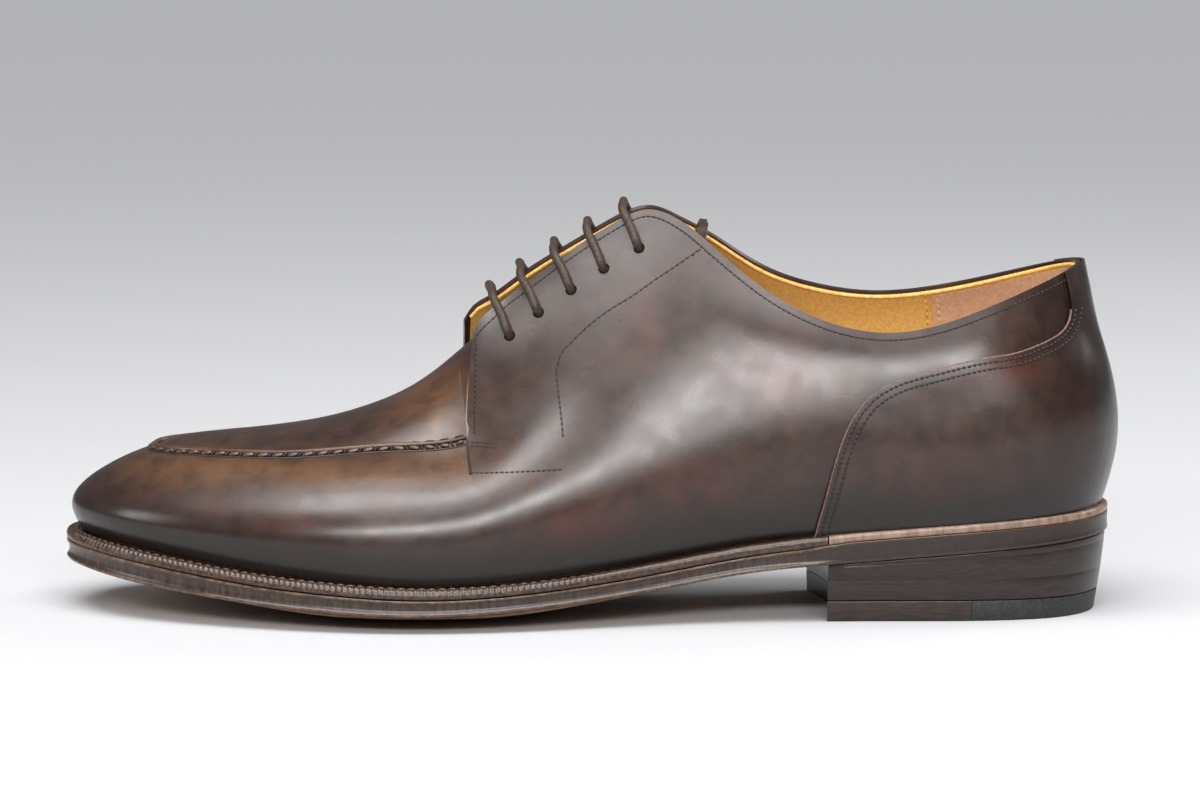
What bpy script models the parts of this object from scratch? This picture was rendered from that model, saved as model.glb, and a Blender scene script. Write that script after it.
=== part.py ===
"""Apron toe derby: one left shoe, built as its maker's pieces.

+X runs from heel to toe, +Y to the outer side of the foot and +Z up. The floor is z = 0, below
the middle of the shoe. The tables and sizes are in millimetres, at the size that they were drawn
at, and become metres where a mesh is made.

The upper is one function of two numbers. s goes round the shoe: 0 is the heel's back, 100 the
tip of the toe, positive on the outer side and negative on the inner side. t climbs a rib of the
wall: 0 feather line, 1 widest line, 2 shoulder, 3 flank or apron seam, 4 instep, 5 topline.
"""
import math
from functools import lru_cache

import bmesh
import bpy
import numpy as np
from mathutils import Vector

MM = 0.001
WELD = 0.004             # points nearer than this become one
SHARP_ANGLE = 40.0       # edges above this are shaded sharp

# Driving sizes, and the sizes that the tables below were drawn at
SOLE_LENGTH = 305.0
BALL_WIDTH = 105.0
INSTEP_HEIGHT = 117.1
DRAWN_SIZE = (305.0, 105.0, 117.1)

GAP = 0.3                # between two pieces that touch
UPPER_WALL = 2.0
COUNTER_THICKNESS = 1.0
COUNTER_GAP = 0.5
TONGUE_THICKNESS = 2.4
WELT_THICKNESS = 3.0
RAND_THICKNESS = 2.2
WELT_SHOULDER = 1.1      # the wheeled outer corner of the welt
RAND_SHOULDER = 0.6
SEAM_RISE = 1.3          # raised edge of the apron seam
INSOLE_RISE = 2.4        # insole above the feather line
HEEL_LIFT = 6.0          # the lowest lift: top piece and heel tip
LACE_RADIUS = 1.3

# Where the ribs change
FACING_FRONT = 58.0      # s of the facings' front edge
THROAT_END = 62.0        # s of the first rib that reaches the ridge
TOE_TIP = 100.0
SEAM_T = 3               # t of the flank and the apron seam
INSTEP_T = 4
TOPLINE_T = 5
RIDGE_Y = -3.0           # the instep's ridge lies inside the middle
TOE_Y = -4.6             # and bends to here over the toe
TOE_BEND = (60.0, 128.5)  # from one x to the other

# Wall sections of the outer side. feather: x and y. widest, shoulder: how far out of the feather
# line, and height. flank, instep: x, y and height.
SECTION = ("s", "feather_x", "feather_y", "widest_out", "widest_z", "shoulder_out", "shoulder_z",
           "flank_x", "flank_y", "flank_z", "instep_x", "instep_y", "instep_z")
HEEL_BACK = (0, -148.4, 0, 4.4, 50, 1.5, 73, -146.6, 0, 84, -144.6, 0, 93)
OUTER_SECTIONS = (
    (7, -139.5, 21.0, 4.3, 50, 1.6, 72, -138.2, 18.6, 82.5, -137.2, 16.6, 91),
    (14, -118, 30.2, 4.4, 49, 2.2, 69, -117.3, 30.4, 77, -116.5, 28.3, 84),
    (22, -90, 31.3, 4.8, 48, 3.6, 62, -90, 33.4, 70.5, -90, 31.4, 77.5),
    (31, -60, 31.6, 5.8, 46, 4.4, 62, -60, 33.2, 73, -60, 30.4, 81.5),
    (39.6, -30, 34.6, 6.0, 40, 3.6, 58, -31, 33.2, 75, -32.5, 26.5, 92),
    (48.5, 0, 41.6, 4.6, 31, 1.0, 50, 0, 33.5, 68, -3, 21.5, 90),
    (53, 16.5, 45.6, 3.6, 28, -0.8, 44.5, 17.5, 32, 60.5, 16.3, 21.3, 79.5),
    (58, 33, 48.2, 2.8, 25, -2.4, 39.5, 35.2, 29.4, 52.6, 35.0, 20.8, 68.5),
    (64.6, 55.5, 48.9, 2.3, 24.5, -3.2, 37.5, 56, 26.8, 49.8, 56, 14, 57.5),
    (73.5, 85, 43.2, 2.4, 25.5, -3.6, 37.2, 84.5, 22.8, 47.3, 83, 9, 51.8),
    (82.5, 113.5, 32.4, 2.5, 27, -4.2, 37.5, 107.5, 15.6, 46.8, 100, 5.5, 50.4),
    (89.8, 134, 20.2, 2.6, 28.5, -5.0, 38.3, 120.5, 8.2, 46.5, 113, 2.0, 49.6),
    (94.9, 145, 8.4, 2.6, 29.5, -5.6, 39, 126.6, 2.0, 46.4, 117, -0.8, 49.4),
)
INNER_SECTIONS = (
    (7, -139.5, -21.0, 4.3, 50, 1.6, 72, -138.2, -18.6, 83, -137.2, -16.6, 91.5),
    (14, -118, -30.0, 4.4, 50, 2.2, 70, -117.3, -29.9, 79.5, -116.4, -27.7, 87.5),
    (22, -90, -30.2, 5.2, 50, 4.2, 65, -90, -32.2, 74.5, -90, -30.3, 83),
    (31, -60, -26.4, 8.6, 49, 8.6, 63, -60, -33.0, 76, -60, -30.0, 85.5),
    (39.6, -30, -23.4, 12.5, 46, 13.2, 60, -31, -33.4, 77, -33, -27.0, 93.5),
    (48.5, 0, -29.6, 9.5, 40, 8.6, 56, 0, -31.8, 74, -3, -22.5, 92.5),
    (53, 16, -36.8, 6.6, 34.5, 3.6, 50, 17.5, -31.5, 66.5, 17, -23.0, 82.5),
    (58, 34, -44.4, 3.6, 29, -0.8, 43.5, 38, -31.0, 55, 38, -23.5, 70.5),
    (64.6, 56, -49.2, 2.4, 26.5, -3.0, 40, 57, -31.2, 51.4, 56, -18.5, 58.5),
    (73.5, 86, -48.2, 2.3, 26.5, -3.8, 39, 84.5, -30.0, 49.0, 82.5, -15, 53.2),
    (82.5, 115, -41.8, 2.5, 27.5, -4.6, 38.5, 107.5, -24.2, 47.7, 100, -13.2, 51),
    (89.8, 135.5, -31.2, 2.6, 29, -5.2, 39, 120.5, -16.8, 47.1, 113, -10.6, 49.8),
    (94.9, 145.8, -20.4, 2.6, 29.8, -5.6, 39.4, 126.6, -11.2, 46.8, 117, -7.6, 49.4),
)
TOE_SECTION = (100, 150, -5, 2.6, 30, -6, 39.6, 128.5, -4.8, 46.4, 118, -4.2, 49.4)

# Topline and facing edges, from the heel's back to the facing's front corner: s, x, y, z
RIM_BACK = (0, -142.7, 0, 101.7)
OUTER_RIM = (
    (7, -136.0, 14.5, 99.0), (14, -115.5, 25.6, 90.9), (22, -90, 28.6, 83.5),
    (27, -74, 28.2, 84.5), (31, -61, 26.4, 89.0), (35.5, -47.7, 23.0, 96.9),
    (39.6, -35.5, 18.6, 106.9), (43, -26, 13.6, 114.2), (45.5, -17.5, 9.2, 117.1),
    (48.5, -7.5, 8.0, 113.5), (52, 6, 8.6, 104.9), (55, 20, 9.7, 94.6),
    (56.6, 27.6, 10.9, 89.1), (57.5, 31.8, 12.2, 85.4), (58, 33.9, 13.6, 82.0),
)
INNER_RIM = (
    (7, -135.8, -14.5, 100.0), (14, -115.2, -24.8, 94.4), (22, -90, -27.5, 90.3),
    (27, -75, -27.0, 91.0), (31, -61, -25.4, 94.2), (35.5, -47.5, -22.3, 100.4),
    (39.6, -35.5, -18.4, 108.3), (43, -26, -13.8, 113.6), (45.5, -18, -10.2, 116.9),
    (48.5, -8, -9.0, 114.2), (52, 6, -9.8, 106.0), (55, 22, -11.6, 95.7),
    (56.6, 30.4, -13.2, 89.7), (57.5, 35.2, -14.8, 86.3), (58, 37.6, -16.6, 82.4),
)

# The ridge over vamp and apron: x and height. Where each rib meets it: s and x.
RIDGE = ((26, 85.0), (36.9, 76.2), (45, 69.4), (54, 63.4), (64, 59.0), (76, 55.3),
         (90, 52.8), (104, 51.3), (116, 50.0), (123, 48.5), (128.5, 46.4))
RIDGE_ENDS = ((62, 38.8), (66, 50), (73.5, 77), (82.5, 95), (89.8, 102.5), (94.9, 106),
              (100, 108))
THROAT_CORNER = {1: (37.8, 12.0), -1: (40.6, -17.0)}   # ends of the vamp's edge, x and y

# Heights along the shoe: x, feather line, sole's lower edge, sole's lower middle
SOLE_LEVEL = ("x", "feather", "edge", "middle")
SOLE_LEVELS = (
    (-152, 31.6, 23.8, 23.8), (-120, 29.6, 21.2, 21.2), (-90, 27.4, 18.8, 18.8),
    (-68, 25.6, 17.0, 17.0), (-45, 23.0, 14.7, 13.4), (-20, 18.9, 10.8, 8.2),
    (5, 15.6, 7.7, 3.4), (30, 13.6, 5.6, 0.0), (50, 13.2, 5.0, 0.0), (72, 14.2, 5.7, 0.0),
    (95, 16.0, 7.3, 2.9), (118, 18.8, 9.5, 7.0), (138, 21.3, 11.9, 10.9),
    (154, 23.2, 14.2, 14.0),
)
REST_FROM = 28.0         # x where the forepart starts to stand on the floor
REST_TO = 74.0           # and ends to
FLAT_SHARE = 0.22        # flat share of the half width
RAND_TO_WELT_X = (-75.0, -60.0)
HEEL_CORE = (-116.0, 0.2)      # past these two points the middle line is squeezed together
TOE_CORE = (106.0, -3.2)
CORE_SQUEEZE = 0.18
INSOLE_INSET = 2.7
INSOLE_DISH = 0.6
WELT_INNER = 2.2         # the welt reaches this far in from the feather line

# How far the sole's edge stands out of the feather line
EDGE_WIDTH = ("s", "outer", "inner")
EDGE_WIDTHS = ((0, 3.1, 3.1), (14, 2.3, 2.4), (31, 3.2, 3.0), (44, 3.4, 3.2), (58, 4.4, 3.8),
               (70, 4.8, 4.2), (84, 4.9, 4.8), (100, 4.2, 4.2))

# The heel
BREAST_HOLLOW = 3.5
HEEL_TAPER = 0.16        # inset of the heel's side for each millimetre down
HEEL_SETBACK = 0.6
TAPER_X = -100.0         # x where the taper is measured
BREAST_SHARES = (0.1, 0.25, 0.4, 0.5, 0.6, 0.75, 0.9)
TIP_JOINT_X = -109.6
JOINT_SEARCH = (4, 26, 0.1)     # s from, to and step
BREAST_S = {1: 28.6, -1: 29.6}  # s where the heel ends, on each side
BREAST_SPLIT = 0.06      # s between the ends of welt and rand

# Outline of the counter on the quarter, seen from the side: x and height
COUNTER_EDGE = (
    (-63.5, 18), (-65.2, 28), (-66.8, 34.2), (-69.6, 45.7), (-73.0, 55.8), (-78.6, 64.4),
    (-87.8, 70.2), (-99.8, 73.5), (-111.4, 76.1), (-120.9, 77.4), (-129.7, 80.0),
    (-135.2, 82.6), (-138.0, 86), (-138.6, 91), (-137.4, 97), (-135.8, 104),
)
COUNTER_BEHIND_X = -165.0
COUNTER_REACH = 33
GUIDE_REACH = 60.0       # half the width of a guide body

# Lacing: s of each pair of eyelets, and how far they lie below the facing's edge
EYELETS = ((55.0, 16.0), (53.1, 16.0), (51.0, 15.8), (48.8, 14.6), (46.1, 12.4))
LACE_LEAD = 3.0          # a bar crosses the edge this far in front of its eyelet
EDGE_INSET = 0.8
EDGE_SEARCH = 4.0        # s behind an eyelet where that crossing is looked for
LACE_HALF_LIFT = 0.5     # a bar stands off the leather between eyelet and edge
LACE_EDGE_LIFT = 0.9
LACE_ARCH = 2.4          # how far a bar bows up over the throat
LACE_CREST_LEAD = 0.4

# The tongue: its rows under the vamp, y of their five points, and its ribs under the facings
TUCKED_X = (48, 42, 37.5)
TUCKED_Y = (12, 5, -3, -11, -18)
TUCK_BACK = 1.4
TUCK_DOWN = 0.3
TONGUE_RIBS = (54.6, 52, 49, 46, 43.5, 41.6)
TONGUE_CLEARANCE = 0.8
TONGUE_LEVELS = ((4.0, 0.8), (4.85, 2.4))    # levels of the facing, and clearance below them
SEAM_NEAR_THROAT = 60.0
TONGUE_HEART = 0.6       # how far the middle rises over the line between the facings

# Stations of the mesh: round the quarters, round the forepart, and up the wall
QUARTER_S = (0, 2.2, 4.4, 6.6, 9, 11.5, 14, 17, 20.5, 24, 27.5, 31, 34.5, 37.5, 40, 42, 43.8,
             45.4, 47, 49.2, 51.6, 54, 55.8, 57, 58)
FOREPART_S = (58, 60, 62, 64.5, 67.5, 70.5, 73.5, 76.5, 79.3, 82, 84.4, 86.6, 88.6, 90.5, 92.2,
              93.9, 95.5, 97, 98.5, 100)
WALL_T = (0, 0.45, 0.9, 1.35, 1.8, 2.25, 2.65, 2.9, 3)
QUARTER_T = (3.4, 3.8, 4.2, 4.6, 5)
CROWN_R = (0.93, 0.72, 0.46, 0.22, 0)
PLATE_S = (0, 3, 6, 9, 12, 15, 19, 24, 29, 34, 39, 44, 49, 54, 59, 64, 69, 74, 78.5, 82.5, 86,
           89.5, 93, 96.5, 100)
PLATE_R = (0, 0.22, 0.5, 0.78, 1)
WELT_STATIONS = 36
RAND_STATIONS = 41
HEEL_STATIONS = 45

# Colour and roughness of each piece
LEATHER_EDGE = ((0.045, 0.026, 0.02), 0.32)
FINISHES = {
    "upper": ((0.075, 0.038, 0.028), 0.36),
    "counter": ((0.06, 0.032, 0.025), 0.34),
    "tongue": ((0.05, 0.03, 0.022), 0.5),
    "insole": ((0.55, 0.36, 0.18), 0.7),
    "outsole": ((0.08, 0.045, 0.032), 0.35),
    "welt": ((0.11, 0.06, 0.04), 0.4),
    "heel_rand": ((0.2, 0.13, 0.09), 0.35),
    "heel_stack": LEATHER_EDGE,
    "top_piece": LEATHER_EDGE,
    "heel_tip": ((0.02, 0.018, 0.017), 0.6),
    "lace_bar": ((0.055, 0.045, 0.038), 0.5),
}


class Spline:
    """A cubic curve with steady curvature through rows of values at rising knots."""

    def __init__(self, knots, rows):
        self.knots = np.array(knots, float)
        self.rows = np.array(rows, float)
        steps = np.diff(self.knots)
        count = len(self.knots)
        system = np.eye(count)
        target = np.zeros_like(self.rows)
        slopes = np.diff(self.rows, axis=0) / steps.reshape(-1, *[1] * (self.rows.ndim - 1))
        for i in range(1, count - 1):
            system[i, i - 1:i + 2] = steps[i - 1], 2 * (steps[i - 1] + steps[i]), steps[i]
            target[i] = 6 * (slopes[i] - slopes[i - 1])
        self.bends = np.linalg.solve(system, target.reshape(count, -1)).reshape(target.shape)

    def __call__(self, at):
        i = int(np.clip(np.searchsorted(self.knots, at) - 1, 0, len(self.knots) - 2))
        step = self.knots[i + 1] - self.knots[i]
        b = (at - self.knots[i]) / step
        a = 1 - b
        bend = (a ** 3 - a) * self.bends[i] + (b ** 3 - b) * self.bends[i + 1]
        return a * self.rows[i] + b * self.rows[i + 1] + bend * step ** 2 / 6


def ring_spline(columns):
    """One closed curve round the shoe through the section table's named columns."""
    picks = [SECTION.index(name) for name in columns]
    ring = [(-row[0],) + row[1:] for row in reversed(INNER_SECTIONS)]
    ring += [HEEL_BACK, *OUTER_SECTIONS, TOE_SECTION]
    turn = 2 * TOE_TIP
    before = [(row[0] - turn,) + row[1:] for row in ring[-5:]]
    after = [(row[0] + turn,) + row[1:] for row in ring[:5]]
    rows = before + ring + after
    return Spline([row[0] for row in rows], [[row[i] for i in picks] for row in rows])


def side_spline(table, column):
    """A column of a table against s, even about the heel's back."""
    rows = [(-row[0], row[column]) for row in reversed(table[1:])]
    rows += [(row[0], row[column]) for row in table]
    return Spline([row[0] for row in rows], [row[1] for row in rows])


feather_line = ring_spline(("feather_x", "feather_y"))
widest_line = ring_spline(("widest_out", "widest_z"))
shoulder_line = ring_spline(("shoulder_out", "shoulder_z"))
flank_line = ring_spline(("flank_x", "flank_y", "flank_z"))
instep_line = ring_spline(("instep_x", "instep_y", "instep_z"))
rim_rows = [(-row[0],) + row[1:] for row in reversed(INNER_RIM)] + [RIM_BACK, *OUTER_RIM]
rim_line = Spline([row[0] for row in rim_rows], [row[1:] for row in rim_rows])
ridge_height = Spline(*zip(*RIDGE))
ridge_end = Spline(*zip(*RIDGE_ENDS))
level_at = Spline([row[0] for row in SOLE_LEVELS], [row[1:] for row in SOLE_LEVELS])
edge_width = {1: side_spline(EDGE_WIDTHS, EDGE_WIDTH.index("outer")),
              -1: side_spline(EDGE_WIDTHS, EDGE_WIDTH.index("inner"))}


def side_of(s):
    return 1 if s >= 0 else -1


def outward(s):
    """Unit vector in plan that points out of the feather line."""
    step = 0.05
    ahead = feather_line(s + step)
    behind = feather_line(s - step)
    run = (ahead - behind) / np.linalg.norm(ahead - behind)
    return np.array((-run[1], run[0]))


def sole_level(x, name):
    """Height of one of the sole's named levels."""
    return float(level_at(x)[SOLE_LEVEL.index(name) - 1])


def from_feather(s, out):
    """A point in plan, out of the feather line by the given distance."""
    return feather_line(s) + outward(s) * out


@lru_cache(maxsize=None)
def rib(s):
    """The wall's rib at s, as a curve over its own length, and that length at each level."""
    foot = feather_line(s)
    points = [(*foot, sole_level(foot[0], "feather"))]
    for line in (widest_line, shoulder_line):
        out, height = line(s)
        points.append((*from_feather(s, out), height))
    points.append(tuple(flank_line(s)))
    points.append(tuple(instep_line(s)))
    if abs(s) <= FACING_FRONT:
        points.append(tuple(rim_line(s)))
    points = np.array(points)
    lengths = np.concatenate(([0], np.cumsum(np.linalg.norm(np.diff(points, axis=0), axis=1))))
    return Spline(lengths, points), lengths


def wall_point(s, t):
    curve, lengths = rib(round(float(s), 6))
    return curve(np.interp(t, range(len(lengths)), lengths))


def crown_point(s, r):
    """Vamp and apron between the seam, r = 1, and the ridge, r = 0."""
    seam = wall_point(s, SEAM_T)
    end_x = ridge_end(max(abs(s), THROAT_END))
    if abs(s) < THROAT_END:
        # The rib ends on the vamp's edge in the throat, at its least r
        share = (abs(s) - FACING_FRONT) / (THROAT_END - FACING_FRONT)
        edge_x = THROAT_CORNER[side_of(s)][0] * (1 - share) + end_x * share
        least = crown_from(s)
        end_x = (edge_x - seam[0] * least) / (1 - least)
    toe_share = np.clip((seam[0] - TOE_BEND[0]) / (TOE_BEND[1] - TOE_BEND[0]), 0, 1) ** 2
    ridge_y = RIDGE_Y + (TOE_Y - RIDGE_Y) * toe_share
    x = end_x + (seam[0] - end_x) * r
    y = ridge_y + (seam[1] - ridge_y) * r
    drop = ridge_height(seam[0]) - seam[2]
    return np.array((x, y, ridge_height(x) - drop * r ** 2))


def crown_from(s):
    """The least r of a rib: above 0 where it ends on the throat's front edge."""
    if abs(s) >= THROAT_END:
        return 0.0
    seam_y = flank_line(s)[1]
    reach = (THROAT_CORNER[side_of(s)][1] - RIDGE_Y) / (seam_y - RIDGE_Y)
    return reach * (THROAT_END - abs(s)) / (THROAT_END - FACING_FRONT)


def facing(surface, s, at):
    """Unit normal out of a surface function of s and a second number."""
    ds, da = 0.05, 0.01
    s_low, s_high = s - ds, s + ds
    if abs(s) <= FACING_FRONT < abs(s) + ds and surface is wall_point:
        s_low, s_high = (s - ds, s) if s > 0 else (s, s + ds)
    along = surface(s_high, at) - surface(s_low, at)
    top = TOPLINE_T if abs(s) <= FACING_FRONT else INSTEP_T
    a_low, a_high = max(at - da, 0), min(at + da, top)
    up = surface(s, a_high) - surface(s, a_low)
    normal = np.cross(up, along)
    return normal / np.linalg.norm(normal)


def wall_skin(s, t, lift=0.0):
    """A point of the wall, lifted out of it by a distance."""
    point = wall_point(s, t)
    if lift:
        point = point + facing(wall_point, s, t) * lift
    return point


def to_metres(point):
    sizes = (SOLE_LENGTH, BALL_WIDTH, INSTEP_HEIGHT)
    return Vector([float(p) * size / drawn * MM for p, size, drawn in zip(point, sizes, DRAWN_SIZE)])


def new_object(name, data, collection):
    """An object in its collection. A part has its own material, and a guide has none."""
    piece = bpy.data.objects.new(name, data)
    collection.objects.link(piece)
    finish = FINISHES.get(name.rstrip("_12345"))
    if finish:
        colour, roughness = finish
        material = bpy.data.materials.new(name)
        material.use_nodes = True
        shader = material.node_tree.nodes["Principled BSDF"]
        shader.inputs["Base Color"].default_value = (*colour, 1)
        shader.inputs["Roughness"].default_value = roughness
        shader.inputs["Metallic"].default_value = 0
        data.materials.append(material)
    return piece


def add_grid(shape, rows, closed_rows=False):
    """Faces through rows of points, each row as long as the next."""
    grid = [[shape.verts.new(to_metres(point)) for point in row] for row in rows]
    for lower, upper_row in zip(grid, grid[1:]):
        for i in range(len(lower) if closed_rows else len(lower) - 1):
            j = (i + 1) % len(lower)
            shape.faces.new((lower[i], lower[j], upper_row[j], upper_row[i]))
    return grid


def finish_mesh(name, shape, inside_out):
    """A mesh of a shape, its faces turned where inside_out says so of the shape."""
    bmesh.ops.remove_doubles(shape, verts=shape.verts[:], dist=WELD * MM)
    bmesh.ops.dissolve_degenerate(shape, edges=shape.edges[:], dist=WELD * MM)
    bmesh.ops.recalc_face_normals(shape, faces=shape.faces[:])
    if inside_out(shape):
        bmesh.ops.reverse_faces(shape, faces=shape.faces[:])
    mesh = bpy.data.meshes.new(name)
    shape.to_mesh(mesh)
    shape.free()
    mesh.shade_smooth()
    mesh.set_sharp_from_angle(angle=math.radians(SHARP_ANGLE))
    return mesh


def hollow_volume(shape):
    """Says whether a closed shape's faces point into it."""
    return shape.calc_volume(signed=True) < 0


def faces_middle(shape):
    """Says whether an open wall's faces point to the shoe's middle line."""
    lowest = min(shape.faces, key=lambda face: face.calc_center_median().z)
    return lowest.normal.y * lowest.calc_center_median().y < 0


def faces_down(shape):
    """Says whether a sheet's faces point down."""
    return sum(face.normal.z * face.calc_area() for face in shape.faces) < 0


def loft(name, rows):
    """A closed body through rings of points, capped at both ends."""
    shape = bmesh.new()
    grid = add_grid(shape, rows, closed_rows=True)
    shape.faces.new(list(reversed(grid[0])))
    shape.faces.new(grid[-1])
    return finish_mesh(name, shape, hollow_volume)


def solidify(piece, thickness):
    wall = piece.modifiers.new("wall", "SOLIDIFY")
    wall.thickness = thickness * MM
    wall.offset = -1
    wall.use_even_offset = False


def side_guide(name, outline, collection):
    """A guide body: an outline of x and height, drawn out to both sides."""
    rows = [[(x, y, z) for x, z in outline] for y in (-GUIDE_REACH, GUIDE_REACH)]
    guide = new_object(name, loft(name, rows), collection)
    guide.hide_render = True
    guide.display_type = "WIRE"
    return guide


def upper(parts):
    """Vamp, apron and quarters: one wall, open at collar, throat and underneath."""
    shape = bmesh.new()
    for side in (1, -1):
        add_grid(shape, [[wall_skin(side * s, t) for t in WALL_T + QUARTER_T] for s in QUARTER_S])
        forepart = []
        for s in FOREPART_S:
            row = [wall_skin(side * s, t) for t in WALL_T]
            if s > FACING_FRONT:
                row[-1] = row[-1] + np.array((0, 0, SEAM_RISE))
            least = crown_from(side * s)
            row += [crown_point(side * s, least + (1 - least) * r) for r in CROWN_R]
            forepart.append(row)
        add_grid(shape, forepart)
    piece = new_object("upper", finish_mesh("upper", shape, faces_middle), parts)
    solidify(piece, UPPER_WALL)


def counter(parts, guides):
    """The overlay round the heel: a skin over the upper, cut to its outline from the side."""
    lift = COUNTER_GAP + COUNTER_THICKNESS
    stations = [s for s in QUARTER_S if s <= COUNTER_REACH]
    rows = []
    for s in [-s for s in reversed(stations[1:])] + stations:
        row = [wall_skin(s, t, lift) for t in WALL_T + QUARTER_T]
        lean = facing(wall_point, s, 0)
        foot_out = outward(s) * lift / np.hypot(lean[0], lean[1])
        row[0] = wall_point(s, 0) + (*foot_out, 0)
        rows.append(row)
    shape = bmesh.new()
    add_grid(shape, rows)
    piece = new_object("counter", finish_mesh("counter", shape, faces_middle), parts)
    solidify(piece, COUNTER_THICKNESS)
    behind = [(COUNTER_BEHIND_X, COUNTER_EDGE[-1][1]), (COUNTER_BEHIND_X, COUNTER_EDGE[0][1])]
    cut = piece.modifiers.new("outline", "BOOLEAN")
    cut.operation = "INTERSECT"
    cut.solver = "EXACT"
    cut.object = side_guide("counter_outline", list(COUNTER_EDGE) + behind, guides)


def tongue_rows():
    """Five points of each of the tongue's rows, from under the vamp to its tip."""
    rows = []
    below = UPPER_WALL + TONGUE_CLEARANCE
    for x in TUCKED_X:
        row = []
        for y in TUCKED_Y:
            seam = wall_point(SEAM_NEAR_THROAT if y > RIDGE_Y else -SEAM_NEAR_THROAT, SEAM_T)
            r = (y - RIDGE_Y) / (seam[1] - RIDGE_Y)
            height = ridge_height(x) - (ridge_height(seam[0]) - seam[2]) * r ** 2
            row.append((x - TUCK_BACK, y, height - below - TUCK_DOWN))
        rows.append(row)
    for s in TONGUE_RIBS:
        outer = [wall_skin(s, t, -UPPER_WALL - clear) for t, clear in TONGUE_LEVELS]
        inner = [wall_skin(-s, t, -UPPER_WALL - clear) for t, clear in reversed(TONGUE_LEVELS)]
        heart = (outer[-1] + inner[0]) / 2 + np.array((0, 0, TONGUE_HEART))
        rows.append([*outer, heart, *inner])
    return rows


def tongue(parts):
    """The tongue: tucked under the vamp in front, and under the facings behind."""
    rows = tongue_rows()
    across_count = len(rows[0])
    along = Spline(range(len(rows)), rows)
    fine = []
    for station in np.linspace(0, len(rows) - 1, 2 * len(rows) - 1):
        across = Spline(range(across_count), along(station))
        fine.append([across(u) for u in np.linspace(0, across_count - 1, 2 * across_count - 1)])
    shape = bmesh.new()
    add_grid(shape, fine)
    piece = new_object("tongue", finish_mesh("tongue", shape, faces_down), parts)
    solidify(piece, TONGUE_THICKNESS)


def sole_edge(s, inset=0.0):
    """The sole's edge in plan."""
    return from_feather(s, edge_width[side_of(s)](abs(s)) - inset)


def insole_edge(s):
    return from_feather(s, -INSOLE_INSET)


def sole_bottom(x, r):
    """Height of the sole's underside: r is 0 on its middle line and 1 at its edge."""
    edge = sole_level(x, "edge")
    middle = 0.0 if REST_FROM < x < REST_TO else max(sole_level(x, "middle"), 0.0)
    share = max(0.0, (r - FLAT_SHARE) / (1 - FLAT_SHARE)) ** 2
    return middle + (edge - middle) * share


def hollow(x, r):
    """How far the sole's underside lies below its own edge."""
    return sole_level(x, "edge") - sole_bottom(x, r)


def sole_top(x, r):
    ledge = np.interp(x, RAND_TO_WELT_X, (RAND_THICKNESS, WELT_THICKNESS))
    return sole_level(x, "feather") - 2 * GAP - ledge - hollow(x, r)


def insole_top(x, r):
    return sole_level(x, "feather") + INSOLE_RISE - INSOLE_DISH * hollow(x, r)


def insole_bottom(x, r):
    return sole_top(x, r) + GAP


def plate_point(s, r, edge_of):
    """A point in plan between a closed outline, r = 1, and the middle line, r = 0."""
    here = edge_of(s)
    middle = (here + edge_of(-s)) / 2
    if middle[0] < HEEL_CORE[0]:
        middle = HEEL_CORE + (middle - HEEL_CORE) * CORE_SQUEEZE
    if middle[0] > TOE_CORE[0]:
        middle = TOE_CORE + (middle - TOE_CORE) * CORE_SQUEEZE
    return middle + (here - middle) * r


def plate(name, edge_of, top_of, bottom_of, parts):
    """A closed plate with a curved top and bottom, such as a sole."""
    shape = bmesh.new()
    for side in (1, -1):
        rows = []
        for s in PLATE_S:
            row = []
            for height_of, shares in ((bottom_of, PLATE_R), (top_of, PLATE_R[::-1])):
                for r in shares:
                    x, y = plate_point(side * s, r, edge_of)
                    row.append((x, y, height_of(x, r)))
            rows.append(row)
        add_grid(shape, rows)
    return new_object(name, finish_mesh(name, shape, hollow_volume), parts)


def band(name, stations, shoulder, parts):
    """Welt or rand: a strip between outsole and upper, closed at its two ends."""
    rows = []
    for s in stations:
        outer = edge_width[side_of(s)](abs(s))
        row = []
        for out, level in ((-WELT_INNER, "low"), (outer, "low"), (outer, "shoulder"),
                           (outer - WELT_SHOULDER, "high"), (-WELT_INNER, "high")):
            x, y = from_feather(s, out)
            high = sole_level(x, "feather") - GAP
            height = {"low": sole_top(x, 1) + GAP, "shoulder": high - shoulder, "high": high}
            row.append((x, y, height[level]))
        rows.append(row)
    new_object(name, loft(name, rows), parts)


def welt_and_rand(parts):
    """The welt runs round the forepart from one end of the breast to the other."""
    outer_end = BREAST_S[1] + BREAST_SPLIT
    inner_end = BREAST_S[-1] + BREAST_SPLIT
    outer = np.linspace(outer_end, TOE_TIP, WELT_STATIONS)
    inner = -np.linspace(inner_end, TOE_TIP, WELT_STATIONS)[-2::-1]
    band("welt", [*outer, *inner], WELT_SHOULDER, parts)
    rear = np.linspace(BREAST_SPLIT - BREAST_S[-1], BREAST_S[1] - BREAST_SPLIT, RAND_STATIONS)
    band("heel_rand", rear, RAND_SHOULDER, parts)


def breast_line(outer_end, inner_end):
    """The hollow front of the heel, between its two corners."""
    points = []
    for share in BREAST_SHARES:
        point = outer_end + (inner_end - outer_end) * share
        point[0] -= BREAST_HOLLOW * (1 - (2 * share - 1) ** 2)
        points.append(point)
    return points


def heel_ring(height, stations):
    """The heel's side in plan at a height, along stations of s."""
    inset = HEEL_SETBACK + (sole_bottom(TAPER_X, 1) - height) * HEEL_TAPER
    return [sole_edge(s, inset) for s in stations]


def heel_slab(name, low, high, ring_at, parts):
    """A slab of the heel. low and high give its height at x, and ring_at its plan at a height."""
    rows = []
    for height_of in (low, high):
        rows.append([(x, y, height_of(x)) for x, y in ring_at(height_of(TAPER_X))])
    new_object(name, loft(name, rows), parts)


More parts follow.
